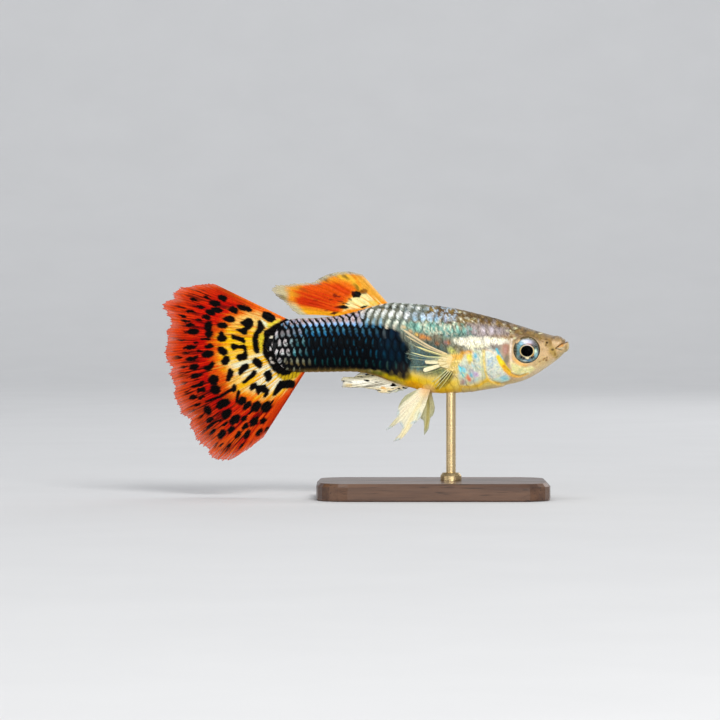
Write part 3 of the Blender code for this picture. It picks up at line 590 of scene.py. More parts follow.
    # melanophores on snout and crown
    for cx, cy, rx, ry, turn, c in (
        (547.6, 343.6, 4.6, 3.4, 40, (164, 132, 72)), (551.6, 350.4, 4.0, 4.2, 20, (172, 142, 70)), (554.0, 354.4, 3.6, 2.6, 60, (182, 150, 80)), (549.4, 341.4, 1.8, 3.0, -20, (146, 112, 54)),
        (546.4, 342.4, 1.1, 1.0, 0, (40, 14, 8)), (545.6, 339.3, 2.0, 0.7, 8, (112, 86, 48)), (545.3, 344.8, 0.9, 1.2, 10, (112, 84, 34)),
        (551.9, 349.4, 1.5, 1.2, 0, (70, 50, 12)), (554.5, 353.6, 0.7, 2.0, -4, (124, 94, 22)), (556.4, 356.8, 2.0, 0.8, -35, (160, 132, 72)),
        (541.8, 341.4, 1.4, 0.8, 10, (150, 112, 66)), (539.4, 339.4, 1.2, 1.2, 0, (150, 118, 60)), (553.0, 337.6, 1.4, 0.9, 30, (104, 86, 58)), (551.4, 338.6, 1.0, 1.6, 0, (132, 104, 62)),
        (546.3, 357.4, 0.8, 1.0, 0, (132, 96, 46)), (543.7, 358.3, 1.6, 0.8, -10, (140, 100, 52)), (545.9, 359.9, 1.2, 1.0, 0, (132, 88, 34)), (542.6, 359.6, 0.9, 0.7, 0, (166, 118, 60)),
        (539.1, 361.4, 1.2, 0.7, 0, (160, 124, 72)), (541.2, 349.0, 0.9, 1.6, 0, (184, 146, 96)), (506.4, 333.8, 1.3, 1.2, 0, (70, 34, 18)), (510.5, 336.5, 1.8, 1.2, 20, (120, 88, 44)),
        (516.4, 334.2, 2.2, 1.4, 0, (104, 78, 44)), (536.5, 332.0, 1.5, 1.2, 0, (84, 68, 50)), (472.6, 316.5, 1.6, 0.9, 0, (64, 40, 20)), (480.8, 320.6, 1.6, 1.0, 0, (84, 58, 26)),
        (498.5, 326.0, 2.0, 1.2, 0, (92, 66, 28)), (488.0, 322.0, 2.2, 1.4, 0, (92, 62, 26)), (461.6, 325.6, 0.9, 0.9, 0, (66, 52, 40)), (469.4, 325.4, 0.8, 1.0, 0, (76, 60, 44)),
        (446, 322.0, 2.4, 2.2, 0, (96, 74, 60)), (449.6, 322.6, 1.2, 1.4, 0, (76, 62, 36)), (456.4, 347.0, 1.4, 1.0, 0, (92, 76, 50)),
    ):
        col = paint(col, blob(u, v, cx, cy, rx, ry, turn, 0.6) * 0.88, rgb(*c))
    for cx, cy, rx, ry in ((506.9, 330.4, 1.2, 0.8), (509.5, 330.4, 0.7, 0.5), (514.6, 328.2, 2.4, 0.9), (503.4, 324.2, 1.4, 0.7), (513.8, 338.0, 1.6, 0.9), (540.2, 333.2, 2.4, 0.5), (473.6, 318.4, 2.0, 0.6), (459.6, 312.0, 1.6, 0.8)):
        col = paint(col, blob(u, v, cx, cy, rx, ry, -10, 0.6) * 0.85, rgb(226, 222, 176))
    col = paint(col, smooth(0.66, 0.80, cloud(u, v, 2.6, 18)) * smooth(0.20, 0.05, h) * smooth(470, 500, u) * 0.4, rgb(70, 54, 36))
    # mouth
    d, a, s = stroke(u, v, *CLEFT)
    lips = smooth(553.5, 556.5, u)
    col = paint(col, region(u, v, ((556.6, 347.0), (558.8, 345.2), (561.4, 343.6), (562.9, 344.0), (563.0, 346.4), (559, 347.2)), 0.5) * 0.85, rgb(214, 154, 80))
    col = paint(col, region(u, v, ((556.6, 347.7), (560, 347.4), (563.4, 346.8), (563.4, 349.0), (560.6, 349.4), (557.4, 348.7)), 0.5) * 0.85, rgb(202, 186, 146))
    col = paint(col, region(u, v, ((564.4, 344.2), (567.2, 343.8), (567.6, 347), (565.8, 350), (564.2, 348.4)), 0.6) * 0.7, rgb(152, 122, 70))
    col = paint(col, region(u, v, ((560.8, 339.2), (563.2, 339.8), (564.6, 342.2), (563.0, 343.2), (561.2, 342.6)), 0.7) * 0.7, rgb(122, 98, 66))
    col = paint(col, np.exp(-((d / 0.55) ** 2)) * smooth(-0.05, 0.1, a) * lips * 0.9, rgb(112, 72, 28))
    col = paint(col, blob(u, v, 555.5, 348.0, 1.0, 0.9, 0, 0.6) * 0.9, rgb(96, 72, 18))
    d = stroke(u, v, *LOWER_CLEFT)[0]
    col = paint(col, np.exp(-((d / 0.55) ** 2)) * 0.75, rgb(104, 96, 74))
    d = stroke(u, v, (563.8, 344.0), (563.6, 347.2), (564.6, 350.2))[0]
    col = paint(col, np.exp(-((d / 0.5) ** 2)) * 0.5, rgb(206, 180, 128))
    col = paint(col, smooth(1.4, 0.3, np.abs(u - 568.0)) * smooth(341.5, 343, v) * smooth(353, 349, v) * 0.7, rgb(206, 192, 150))
    return col * (0.90 + 0.22 * cloud(u, v, 3.0, 21))[..., None]


# ------------------------------------------------------------------ meshes and materials

def scale_looks(cu, cv, rng):
    """How each scale glints, from the place of its bare part in the side view: colours of the upper and lower half, strength, width, height, slant, hollow, dark rim."""
    n = len(cu)
    one = np.ones(n)
    top, low = line_top(cu), line_low(cu)
    depth = cv - top
    r = rng.random((n, 6))
    look = {
        "hi": np.broadcast_to(rgb(168, 146, 92), (n, 3)).copy(), "lo": np.broadcast_to(rgb(168, 146, 92), (n, 3)).copy(),
        "amt": 0.30 * r[:, 0], "wide": 0.11 * one, "tall": 0.55 * one, "slant": 0.0 * one, "hollow": 0.0 * one, "rim": 0.16 * one, "tan": 0.0 * one,
    }

    def put(mask, hi, lo=None, **values):
        mask = np.clip(mask, 0, 1)
        lo = hi if lo is None else lo
        look["hi"] = look["hi"] + (np.asarray(hi) - look["hi"]) * mask[:, None]
        look["lo"] = look["lo"] + (np.asarray(lo) - look["lo"]) * mask[:, None]
        for key, value in values.items():
            look[key] = look[key] + (value - look[key]) * mask

    def box(u0, u1, v0, v1, su=3.0, sv=1.5):
        return smooth(u0 - su, u0 + su, cu) * (1 - smooth(u1 - su, u1 + su, cu)) * smooth(v0 - sv, v0 + sv, cv) * (1 - smooth(v1 - sv, v1 + sv, cv))

    back = (depth < 16) & (cu > 440)
    put(back & (r[:, 1] > 0.86), rgb(222, 222, 206), amt=0.8, wide=0.07, tall=0.28)
    put(box(440, 512, 321, 335.5), rgb(206, 200, 214), rgb(170, 160, 166), amt=0.25 + 0.55 * r[:, 0], wide=0.07 + 0.10 * r[:, 3], tall=0.40 + 0.4 * r[:, 4], rim=0.03)
    put(box(441, 468, 327, 335), rgb(132, 184, 166), rgb(88, 150, 142), amt=0.45 + 0.4 * r[:, 0], wide=0.08 + 0.10 * r[:, 3], tall=0.50, rim=0.04)
    put(box(466, 473, 325, 336, 1.5), rgb(190, 206, 232), rgb(92, 150, 196), amt=0.85, wide=0.10, tall=0.5, rim=0.06)
    put(box(441, 449, 329, 341, 2), rgb(112, 168, 140), rgb(84, 120, 166), amt=0.6, wide=0.14, tall=0.6)
    put(box(450, 512, 336, 350), rgb(240, 236, 216), amt=0.10, wide=0.16, tall=0.8, rim=0.0)
    put(box(452, 484, 350, 390), rgb(214, 226, 214), rgb(196, 206, 176), amt=0.08 + 0.12 * r[:, 0], rim=0.0)
    # the blue row, the turquoise row, and between them
    put(box(402, 441, 320.5, 333), rgb(164, 208, 194), rgb(120, 168, 146), amt=0.15 + 0.40 * r[:, 0], wide=0.09 + 0.10 * r[:, 3], tall=0.55, rim=0.04)
    put(box(402, 442, 312.6, 321.5, 3, 1.0), rgb(206, 226, 244), rgb(160, 204, 234), amt=0.98, wide=0.145, tall=0.60, rim=0.12)
    put(box(434, 442, 312.6, 321.5, 2, 1.0), rgb(128, 172, 208), rgb(116, 190, 222), amt=0.9, wide=0.17, tall=0.62)
    put(box(442.5, 451, 312.6, 321.5, 2, 1.0), rgb(176, 194, 226), rgb(130, 160, 196), amt=0.8, wide=0.12, tall=0.45)
    put(box(451, 458, 312.6, 321.5, 2, 1.0), rgb(150, 152, 160), amt=0.6, wide=0.12, tall=0.45)
    # silver over the back
    put(box(360, 421, 290, 312.6, 3, 1.0), rgb(244, 246, 240), rgb(222, 234, 228), amt=1.0, wide=0.19, tall=1.15, slant=0.92, rim=0.38)
    put(box(421, 428, 290, 312.6, 2, 1.0), rgb(176, 196, 206), rgb(156, 178, 186), amt=0.6, wide=0.14, tall=0.5, slant=0.2)
    put(box(360, 402, 311, 320, 3, 1.0), rgb(250, 252, 246), rgb(226, 236, 230), amt=1.0, wide=0.20, tall=1.15, slant=0.80, rim=0.38)
    put(box(402, 413, 311, 321, 2, 1.0), rgb(244, 246, 248), rgb(228, 236, 244), amt=1.0, wide=0.19, tall=0.85, slant=0.5, rim=0.4)
    put(box(384, 404, 319, 328, 3), rgb(226, 232, 214), rgb(226, 216, 190), amt=0.9, wide=0.16, tall=0.8, slant=0.55, rim=0.45)
    put(box(362, 384, 318.5, 325, 3), rgb(158, 196, 214), rgb(66, 134, 174), amt=0.85, wide=0.12, tall=0.62, slant=0.2, rim=0.8)
    # stalk
    put(box(276, 362, 300, 326.5, 4, 1.2), rgb(226, 214, 222), rgb(112, 170, 222), amt=0.98, wide=0.155, tall=0.88, slant=-0.40, rim=1.0, tan=0.9 * (r[:, 2] > 0.25))
    put(box(276, 362, 300, 319.5, 4, 1.2), rgb(226, 194, 158), rgb(206, 200, 226), amt=0.9, wide=0.13, tall=0.75, slant=-0.30, rim=1.0)
    fade = smooth(352, 318, cu)
    put(box(286, 384, 326.0, 335, 4, 1.2), rgb(92, 178, 218), rgb(34, 122, 176), amt=(0.30 + 0.65 * fade) * (0.5 + 0.5 * r[:, 0]), wide=0.095, tall=0.55, slant=-0.30, hollow=0.85 * (r[:, 2] > 0.4), rim=1.0, tan=0.0)
    flank = box(300, 406, 335, 372, 5)
    put(flank, rgb(14, 74, 98), rgb(12, 62, 78), amt=0.55 + 0.45 * r[:, 0], wide=0.042, tall=0.50, slant=-0.06, hollow=0.0, rim=0.5, tan=0.0)
    put(box(384, 412, 330, 366, 5), rgb(8, 42, 66), rgb(8, 44, 58), amt=0.7, wide=0.10, tall=0.62, rim=0.6)
    put(box(300, 404, 358, 372, 5), rgb(20, 80, 84), rgb(20, 66, 60), amt=0.5 + 0.4 * r[:, 0], wide=0.055, tall=0.5, rim=0.5)
    put(box(281, 307, 333, 364, 3, 2), rgb(124, 184, 192), rgb(52, 128, 138), amt=0.25 + 0.7 * r[:, 0], wide=0.09, tall=0.50, slant=-0.2, hollow=0.85 * (r[:, 2] > 0.35), rim=1.0)
    put(box(262, 291, 326, 371, 2, 2), rgb(230, 220, 220), rgb(200, 206, 204), amt=0.25 + 0.75 * (r[:, 1] > 0.15), wide=0.10 + 0.05 * r[:, 3], tall=0.34 + 0.22 * r[:, 4], slant=-0.25, hollow=0.92 * (r[:, 2] > 0.45), rim=1.0)
    put(box(276, 302, 321, 333, 2, 1.5), rgb(214, 206, 224), rgb(124, 178, 216), amt=0.95, wide=0.11, tall=0.60, slant=-0.35, hollow=0.6 * (r[:, 2] > 0.6), rim=1.0)
    put(box(284, 310, 358, 372, 3, 2), rgb(176, 180, 150), rgb(150, 130, 80), amt=0.3 + 0.5 * r[:, 0], wide=0.10, tall=0.5, hollow=0.8 * (r[:, 2] > 0.4), rim=0.9)
    put((1 - smooth(271, 275, cu)) * (r[:, 5] > 0.35), rgb(0, 0, 0), amt=0.0)
    put(smooth(2.6, 0.8, low - cv) * smooth(300, 320, cu), rgb(170, 130, 60), amt=0.3, rim=0.2)
    # teal behind the pectoral fin, and the belly
    put(box(406, 446, 343, 376, 3, 3), rgb(84, 142, 150), rgb(70, 122, 134), amt=0.18 + 0.3 * r[:, 0], wide=0.06, tall=0.75, rim=0.15)
    put(box(412, 419, 361, 372, 2, 2), rgb(84, 190, 206), amt=0.75, wide=0.10, tall=0.4)
    belly = smooth(0.78, 0.86, (cv - top) / np.maximum(low - top, 1)) * smooth(384, 398, cu)
    put(belly, rgb(252, 218, 100), rgb(250, 204, 72), amt=0.15, wide=0.16, tall=0.8, rim=0.0)
    return look


def mesh_object(name, verts, faces, col=None, smooth_shade=True, **layers):
    """An object from points in mm. faces is an array of quads, or a list. col and the layers go into point attributes."""
    mesh = bpy.data.meshes.new(name)
    verts = np.asarray(verts, float) * MM
    faces = [np.asarray(f, np.int32) for f in (faces if isinstance(faces, list) else [faces])]
    mesh.vertices.add(len(verts))
    mesh.vertices.foreach_set("co", verts.astype(np.float32).ravel())
    loops = np.concatenate([f.ravel() for f in faces])
    counts = np.concatenate([np.full(len(f), f.shape[1], np.int32) for f in faces])
    mesh.loops.add(len(loops))
    mesh.loops.foreach_set("vertex_index", loops)
    mesh.polygons.add(len(counts))
    mesh.polygons.foreach_set("loop_start", np.concatenate([[0], np.cumsum(counts)[:-1]]).astype(np.int32))
    mesh.polygons.foreach_set("loop_total", counts)
    mesh.update(calc_edges=True)
    mesh.validate()
    if smooth_shade:
        mesh.shade_smooth()
    if col is not None:
        layer = mesh.attributes.new("Tint", "FLOAT_COLOR", "POINT")
        rgba = np.ones((len(verts), 4), np.float32)
        rgba[:, :3] = np.clip(col, 0, 1)
        layer.data.foreach_set("color", rgba.ravel())
    for key, values in layers.items():
        layer = mesh.attributes.new(key, "FLOAT", "POINT")
        layer.data.foreach_set("value", np.broadcast_to(values, (len(verts),)).astype(np.float32).ravel())
    obj = bpy.data.objects.new(name, mesh)
    bpy.context.scene.collection.objects.link(obj)
    return obj


def set_uv(obj, uv_of_vertex, name="OFBake"):
    mesh = obj.data
    layer = mesh.uv_layers.new(name=name)
    index = np.empty(len(mesh.loops), np.int32)
    mesh.loops.foreach_get("vertex_index", index)
    layer.data.foreach_set("uv", np.asarray(uv_of_vertex, np.float32)[index].ravel())


class Mat:
    """A node material with short calls."""

    def __init__(self, name, rough=0.4, metal=0.0, coat=0.0, coat_rough=0.1, spec=0.5, **inputs):
        self.mat = bpy.data.materials.new(name)
        self.mat.use_nodes = True
        self.tree = self.mat.node_tree
        self.shader = self.tree.nodes["Principled BSDF"]
        for key, value in {
            "Roughness": rough, "Metallic": metal, "Coat Weight": coat, "Coat Roughness": coat_rough, "Specular IOR Level": spec, **inputs,
        }.items():
            self.shader.inputs[key].default_value = value
        self.coord = self.node("ShaderNodeTexCoord")

    def node(self, kind, **settings):
        n = self.tree.nodes.new(kind)
        for key, value in settings.items():
            setattr(n, key, value)
        return n

    def link(self, a, b):
        self.tree.links.new(a, b)
        return b

    def attribute(self, name, out="Color"):
        return self.node("ShaderNodeAttribute", attribute_name=name).outputs[out]

    def noise(self, scale, detail=3.0, rough=0.55, stretch=None, where="Object"):
        """Noise in the object's own space; scale is in grains per metre."""
        n = self.node("ShaderNodeTexNoise")
        n.inputs["Scale"].default_value = 1.0 if stretch else scale
        n.inputs["Detail"].default_value = detail
        n.inputs["Roughness"].default_value = rough
        source = self.coord.outputs[where]
        if stretch:
            m = self.node("ShaderNodeMapping")
            m.inputs["Scale"].default_value = [scale * s for s in stretch]
            self.link(source, m.inputs["Vector"])
            source = m.outputs[0]
        self.link(source, n.inputs["Vector"])
        return n.outputs[0]

    def ramp(self, source, *stops):
        r = self.node("ShaderNodeValToRGB")
        while len(r.color_ramp.elements) < len(stops):
            r.color_ramp.elements.new(0.5)
        for e, (at, c) in zip(r.color_ramp.elements, stops):
            e.position = at
            e.color = (c, c, c, 1) if isinstance(c, (int, float)) else (*c, 1)
        self.link(source, r.inputs[0])
        return r.outputs[0]

    def mix(self, fac, a, b, blend="MIX"):
        m = self.node("ShaderNodeMix", data_type="RGBA", blend_type=blend)
        for value, socket in ((fac, m.inputs[0]), (a, m.inputs[6]), (b, m.inputs[7])):
            if hasattr(value, "links") or isinstance(value, bpy.types.NodeSocket):
                self.link(value, socket)
            elif isinstance(value, (int, float)):
                socket.default_value = value
            else:
                socket.default_value = (*value, 1)
        return m.outputs[2]

    def math(self, op, a, b=0.0, c=None):
        m = self.node("ShaderNodeMath", operation=op)
        for k, value in enumerate((a, b) if c is None else (a, b, c)):
            if isinstance(value, bpy.types.NodeSocket):
                self.link(value, m.inputs[k])
            else:
                m.inputs[k].default_value = value
        return m.outputs[0]

    def bump(self, height, strength=0.3, distance=0.00005):
        b = self.node("ShaderNodeBump")
        b.inputs["Strength"].default_value = strength
        b.inputs["Distance"].default_value = distance
        self.link(height, b.inputs["Height"])
        self.link(b.outputs[0], self.shader.inputs["Normal"])
        return b

    def feed(self, **sockets):
        for key, value in sockets.items():
            self.link(value, self.shader.inputs[key.replace("_", " ")])
        return self


def give(obj, mat, ride=True):
    obj.data.materials.clear()
    obj.data.materials.append(mat.mat if isinstance(mat, Mat) else mat)
    if ride:
        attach(obj, "root")
    return obj


def normals_of(grid, wrap=False):
    """Unit directions square to a grid of points."""
    du = np.gradient(grid, axis=0)
    if wrap:
        dv = (np.roll(grid, -1, axis=1) - np.roll(grid, 1, axis=1)) / 2
    else:
        dv = np.gradient(grid, axis=1)
    n = np.cross(du, dv)
    return n / np.maximum(np.linalg.norm(n, axis=2, keepdims=True), 1e-12)


def quads(rows, cols, wrap=False, flip=False, start=0):
    r = np.arange(rows - 1)[:, None]
    c = np.arange(cols if wrap else cols - 1)[None, :]
    c2 = (c + 1) % cols
    q = np.stack([r * cols + c, r * cols + c2, (r + 1) * cols + c2, (r + 1) * cols + c], axis=-1).reshape(-1, 4) + start
    return q[:, ::-1] if flip else q


# ------------------------------------------------------------------ materials of the fish

def skin_material():
    m = Mat("guppy_skin", rough=0.36, coat=0.08, coat_rough=0.16, spec=0.20)
    m.shader.inputs["Subsurface Weight"].default_value = 0.10
    m.shader.inputs["Subsurface Radius"].default_value = (0.9, 0.45, 0.25)
    m.shader.inputs["Subsurface Scale"].default_value = 0.00025
    tint = m.attribute("Tint")
    mottle = m.ramp(m.noise(5200, 4), (0.30, 0.84), (0.72, 1.14))
    fine = m.ramp(m.noise(21000, 3), (0.34, 0.88), (0.70, 1.10))
    col = m.mix(1.0, m.mix(1.0, tint, mottle, "MULTIPLY"), fine, "MULTIPLY")
    specks = m.ramp(m.noise(13000, 2), (0.66, 0.0), (0.72, 1.0))
    col = m.mix(m.math("MULTIPLY", specks, 0.22), col, (0.05, 0.035, 0.02))
    m.feed(Base_Color=col, Metallic=m.math("MULTIPLY", m.attribute("Shine", "Fac"), 0.45))
    m.feed(Roughness=m.math("ADD", m.math("MULTIPLY", m.noise(9000, 3), 0.22), 0.24))
    m.bump(m.mix(0.5, m.noise(15000, 4), m.noise(42000, 2)), 0.30, 0.00002)
    return m


def scale_material():
    m = Mat("guppy_scales", rough=0.34, coat=0.0, coat_rough=0.14, spec=0.045)
    tint = m.attribute("Tint")
    fine = m.ramp(m.noise(17000, 3), (0.32, 0.86), (0.72, 1.12))
    col = m.mix(1.0, tint, fine, "MULTIPLY")
    # fine upright streaks of light and dark over the front of the body
    streak = m.ramp(m.noise(8500, 3, 0.6, stretch=(1.0, 0.5, 0.42)), (0.36, 0.66), (0.50, 1.0), (0.66, 1.42))
    col = m.mix(m.attribute("Loose", "Fac"), col, m.mix(1.0, col, streak, "MULTIPLY"))
    m.feed(Base_Color=col, Metallic=m.math("MULTIPLY", m.attribute("Shine", "Fac"), 0.45))
    m.feed(Roughness=m.math("ADD", m.math("MULTIPLY", m.noise(12000, 3), 0.2), 0.30))
    # growth rings of each scale, from its own coordinate
    wave = m.math("SINE", m.math("MULTIPLY", m.attribute("Ring", "Fac"), 95.0))
    m.bump(m.mix(0.5, wave, m.noise(26000, 3)), 0.18, 0.000018)
    return m


def fin_material(name, rough=0.42, metal=0.0, coat=0.0, alpha=False):
    m = Mat(name, rough=rough, metal=metal, coat=coat, coat_rough=0.2, spec=0.05)
    tint = m.attribute("Tint")
    fibre = m.ramp(m.noise(9000, 4), (0.30, 0.82), (0.70, 1.14))
    fine = m.ramp(m.noise(30000, 2), (0.35, 0.88), (0.65, 1.08))
    m.feed(Base_Color=m.mix(1.0, m.mix(1.0, tint, fibre, "MULTIPLY"), fine, "MULTIPLY"))
    m.feed(Roughness=m.math("ADD", m.math("MULTIPLY", m.noise(14000, 2), 0.25), 0.32))
    joints = m.math("SINE", m.math("MULTIPLY", m.attribute("Along", "Fac"), 62.0))
    m.bump(m.mix(0.5, joints, m.noise(26000, 3)), 0.22, 0.00002)
    if alpha:
        m.feed(Alpha=m.attribute("Cover", "Fac"))
    return m


# ------------------------------------------------------------------ skin

def build_skin():
    step = []
    b = 0.0
    while b < 30.6:
        step.append(b)
        b += float(np.interp(b, [0, 0.4, 1.5, 9.4, 10.2, 27, 30.6], [0.012, 0.035, 0.045, 0.05, 0.10, 0.12, 0.07]))
    step.append(30.6)
    backs = np.array(step)
    around = 248
    phi = 2 * math.pi * (np.arange(around) + 0.5) / around
    side = np.where(phi < math.pi, -1.0, 1.0)
    half_phi = np.where(phi < math.pi, phi, 2 * math.pi - phi)
    # points evenly spaced round the girth
    frac = half_phi / math.pi
    rows = []
    x, o, z = section(backs[:, None], _phi[None, :])
    for k in range(len(backs)):
        w = np.concatenate([[0], np.cumsum(np.hypot(np.diff(o[k]), np.diff(z[k])))])
        w /= w[-1]
        rows.append(np.stack([np.full(around, SNOUT_X - backs[k]), np.interp(frac, w, o[k]) * side, np.interp(frac, w, z[k])], axis=1))
    g = np.array(rows)
    n = normals_of(g, wrap=True)
    centre = g.mean(axis=1, keepdims=True)
    n = np.where(((n * (g - centre)).sum(-1, keepdims=True)) < 0, -n, n)
    u, v = to_px(g[..., 0], g[..., 2])
    zone = scaled_zone(u, v)
    depth = 0.015 + 0.105 * zone * smooth(30.55, 29.6, SNOUT_X - g[..., 0])
    h = relief(u, v) - depth
    # face forward: at the lip the relief runs inwards along the head, not only sideways
    g = g + n * h[..., None]
    # the eye's socket: the cheek eases down to the eyeball's rim, then turns in behind it
    r = np.hypot(u - EYE_U, v - EYE_V) * K
    out = np.abs(g[..., 1])
    eased = eye_room(g[..., 0], out, g[..., 2]) - 1.0 * smooth(1.385, 1.30, r)
    g[..., 1] = np.where(r < 2.6, np.sign(g[..., 1]) * np.maximum(eased, 0.2), g[..., 1])
    # the gape: a notch in the profile between the lips, and a lower lip that stands forward
    d, a, s = stroke(u, v, *CLEFT)
    bite = 0.10 * np.exp(-((d / 0.7) ** 2)) * smooth(562.5, 565.5, u)
    g[..., 0] -= bite * 0.84
    g[..., 2] -= bite * 0.50
    over = smooth(553.5, 557.5, u) * (1 - smooth(560.5, 564, u)) * np.exp(-(((v - 337.5) / 3.0) ** 2)) * 0.09
    g[..., 2] += over
    g[..., 0] -= 0.05 * smooth(563.0, 566.5, u) * smooth(343.0, 341.0, v)
    g[..., 0] += 0.12 * smooth(563.5, 567.0, u) * np.exp(-(((v - 346.0) / 2.3) ** 2))
    g[..., 0] -= 0.11 * smooth(565.5, 567.6, u) * np.exp(-(((v - 342.4) / 1.3) ** 2))
    g[..., 0] += 0.13 * np.exp(-(((u - 566.2) / 1.5) ** 2)) * smooth(343.4, 345.2, v)
    g[..., 2] += 0.12 * smooth(563.6, 566.4, u) * smooth(342.4, 344.0, v) * smooth(351.0, 347.0, v)
    g[..., 0] += 0.12 * smooth(563.2, 566.4, u) * np.exp(-(((v - 348.4) / 2.0) ** 2))
    g[..., 0] -= 0.07 * smooth(565.0, 567.4, u)
    g[..., 2] += 0.10 * smooth(565.4, 567.4, u) * smooth(342.6, 343.6, v) * smooth(345.6, 344.4, v)
    g[..., 2] -= 0.12 * smooth(564.0, 566.8, u) * smooth(345.2, 347.0, v)
    g[..., 1] += sweep(SNOUT_X - g[..., 0])
    rows, cols = g.shape[:2]
    verts = g.reshape(-1, 3)
    ends = np.array([g[0].mean(0) + [0.01, 0, 0], g[-1].mean(0) - [0.01, 0, 0]])
    verts = np.concatenate([verts, ends])
    c = np.arange(cols)
    tri0 = np.stack([c, np.full(cols, rows * cols), (c + 1) % cols], axis=1)
    last = (rows - 1) * cols
    tri1 = np.stack([last + c, last + (c + 1) % cols, np.full(cols, rows * cols + 1)], axis=1)
    q = quads(rows, cols, wrap=True)
    uu, vv = to_px(verts[:, 0], verts[:, 2])
    col = ground(uu, vv)
    shine = 0.5 * blob(uu, vv, 472, 364, 30, 20, 0, 0.4) + 0.25 * scaled_zone(uu, vv) * (1 - dark_flank(uu, vv))
    shine = shine * (1 - 0.8 * smooth(505, 530, uu))
    # flip so that faces look outwards
    obj = mesh_object("skin", verts, [q, tri0, tri1], col, Shine=np.clip(shine, 0, 1))
    face = obj.data.polygons[len(q) // 3]
    where = np.array(face.center) / MM
    away = where - np.array([where[0], 0, 15.6])
    if np.dot(np.array(face.normal), away) < 0:
        obj.data.flip_normals()
    give(obj, skin_material())
    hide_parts("head", "gill_cover_r", "gill_cover_l", "trunk", "tail_stalk")
    return obj


# ------------------------------------------------------------------ scales

def scale_lattice():
    """Every scale's place: distance behind the lip and arc from the back's midline of the middle of its bare part, side, spacing and row height."""
    ups = [407.0]
    step = lambda u: float(np.interp(u, [262, 300, 345, 400, 455, 510], [5.6, 6.1, 6.2, 7.6, 7.9, 8.9]))
    while ups[-1] < 540:
        ups.append(ups[-1] + step(ups[-1]))
    downs = [407.0]
    while downs[-1] > 262:
        downs.append(downs[-1] - step(downs[-1]))
    marks = SNOUT_X - (np.array(sorted(set(ups + downs), reverse=True)) - 365.0) * K

    def row_height(b):
        return np.interp(b, [5, 10, 15, 21, 27, 30.5], [1.04, 1.10, 1.12, 1.09, 1.05, 0.90])

    places = []
    for j in range(-7, 8):
        for i in range(len(marks) - 1):
            d = marks[i + 1] - marks[i]
            b = marks[i] + (0.0 if j % 2 else 0.5 * d)
            if b > 31.1 or b < 4.0:
                continue
            bb = min(b, 30.5)
            h = float(row_height(bb))
            phase = float(np.interp(365 + (SNOUT_X - bb) / K, [340, 420], [-2.4, 2.4])) * K
            s = float(np.interp(bb, _backs, MID_ARC)) + phase + j * h
            whole = float(girth(bb))
            if s < 0.36 * h or s > whole - 0.32 * h:
                continue
            for side in (-1, 1):
                places.append((b, s, side, d, h, j))
    for i in range(len(marks) - 1):
        d = marks[i + 1] - marks[i]
        b = marks[i] + 0.25 * d
        if 4.0 < b < 30.9:
            h = float(row_height(b))
            places.append((b, 0.0, -1, d, h, 20))
            places.append((b, float(girth(min(b, 30.5))), -1, d, h, 21))
    return places


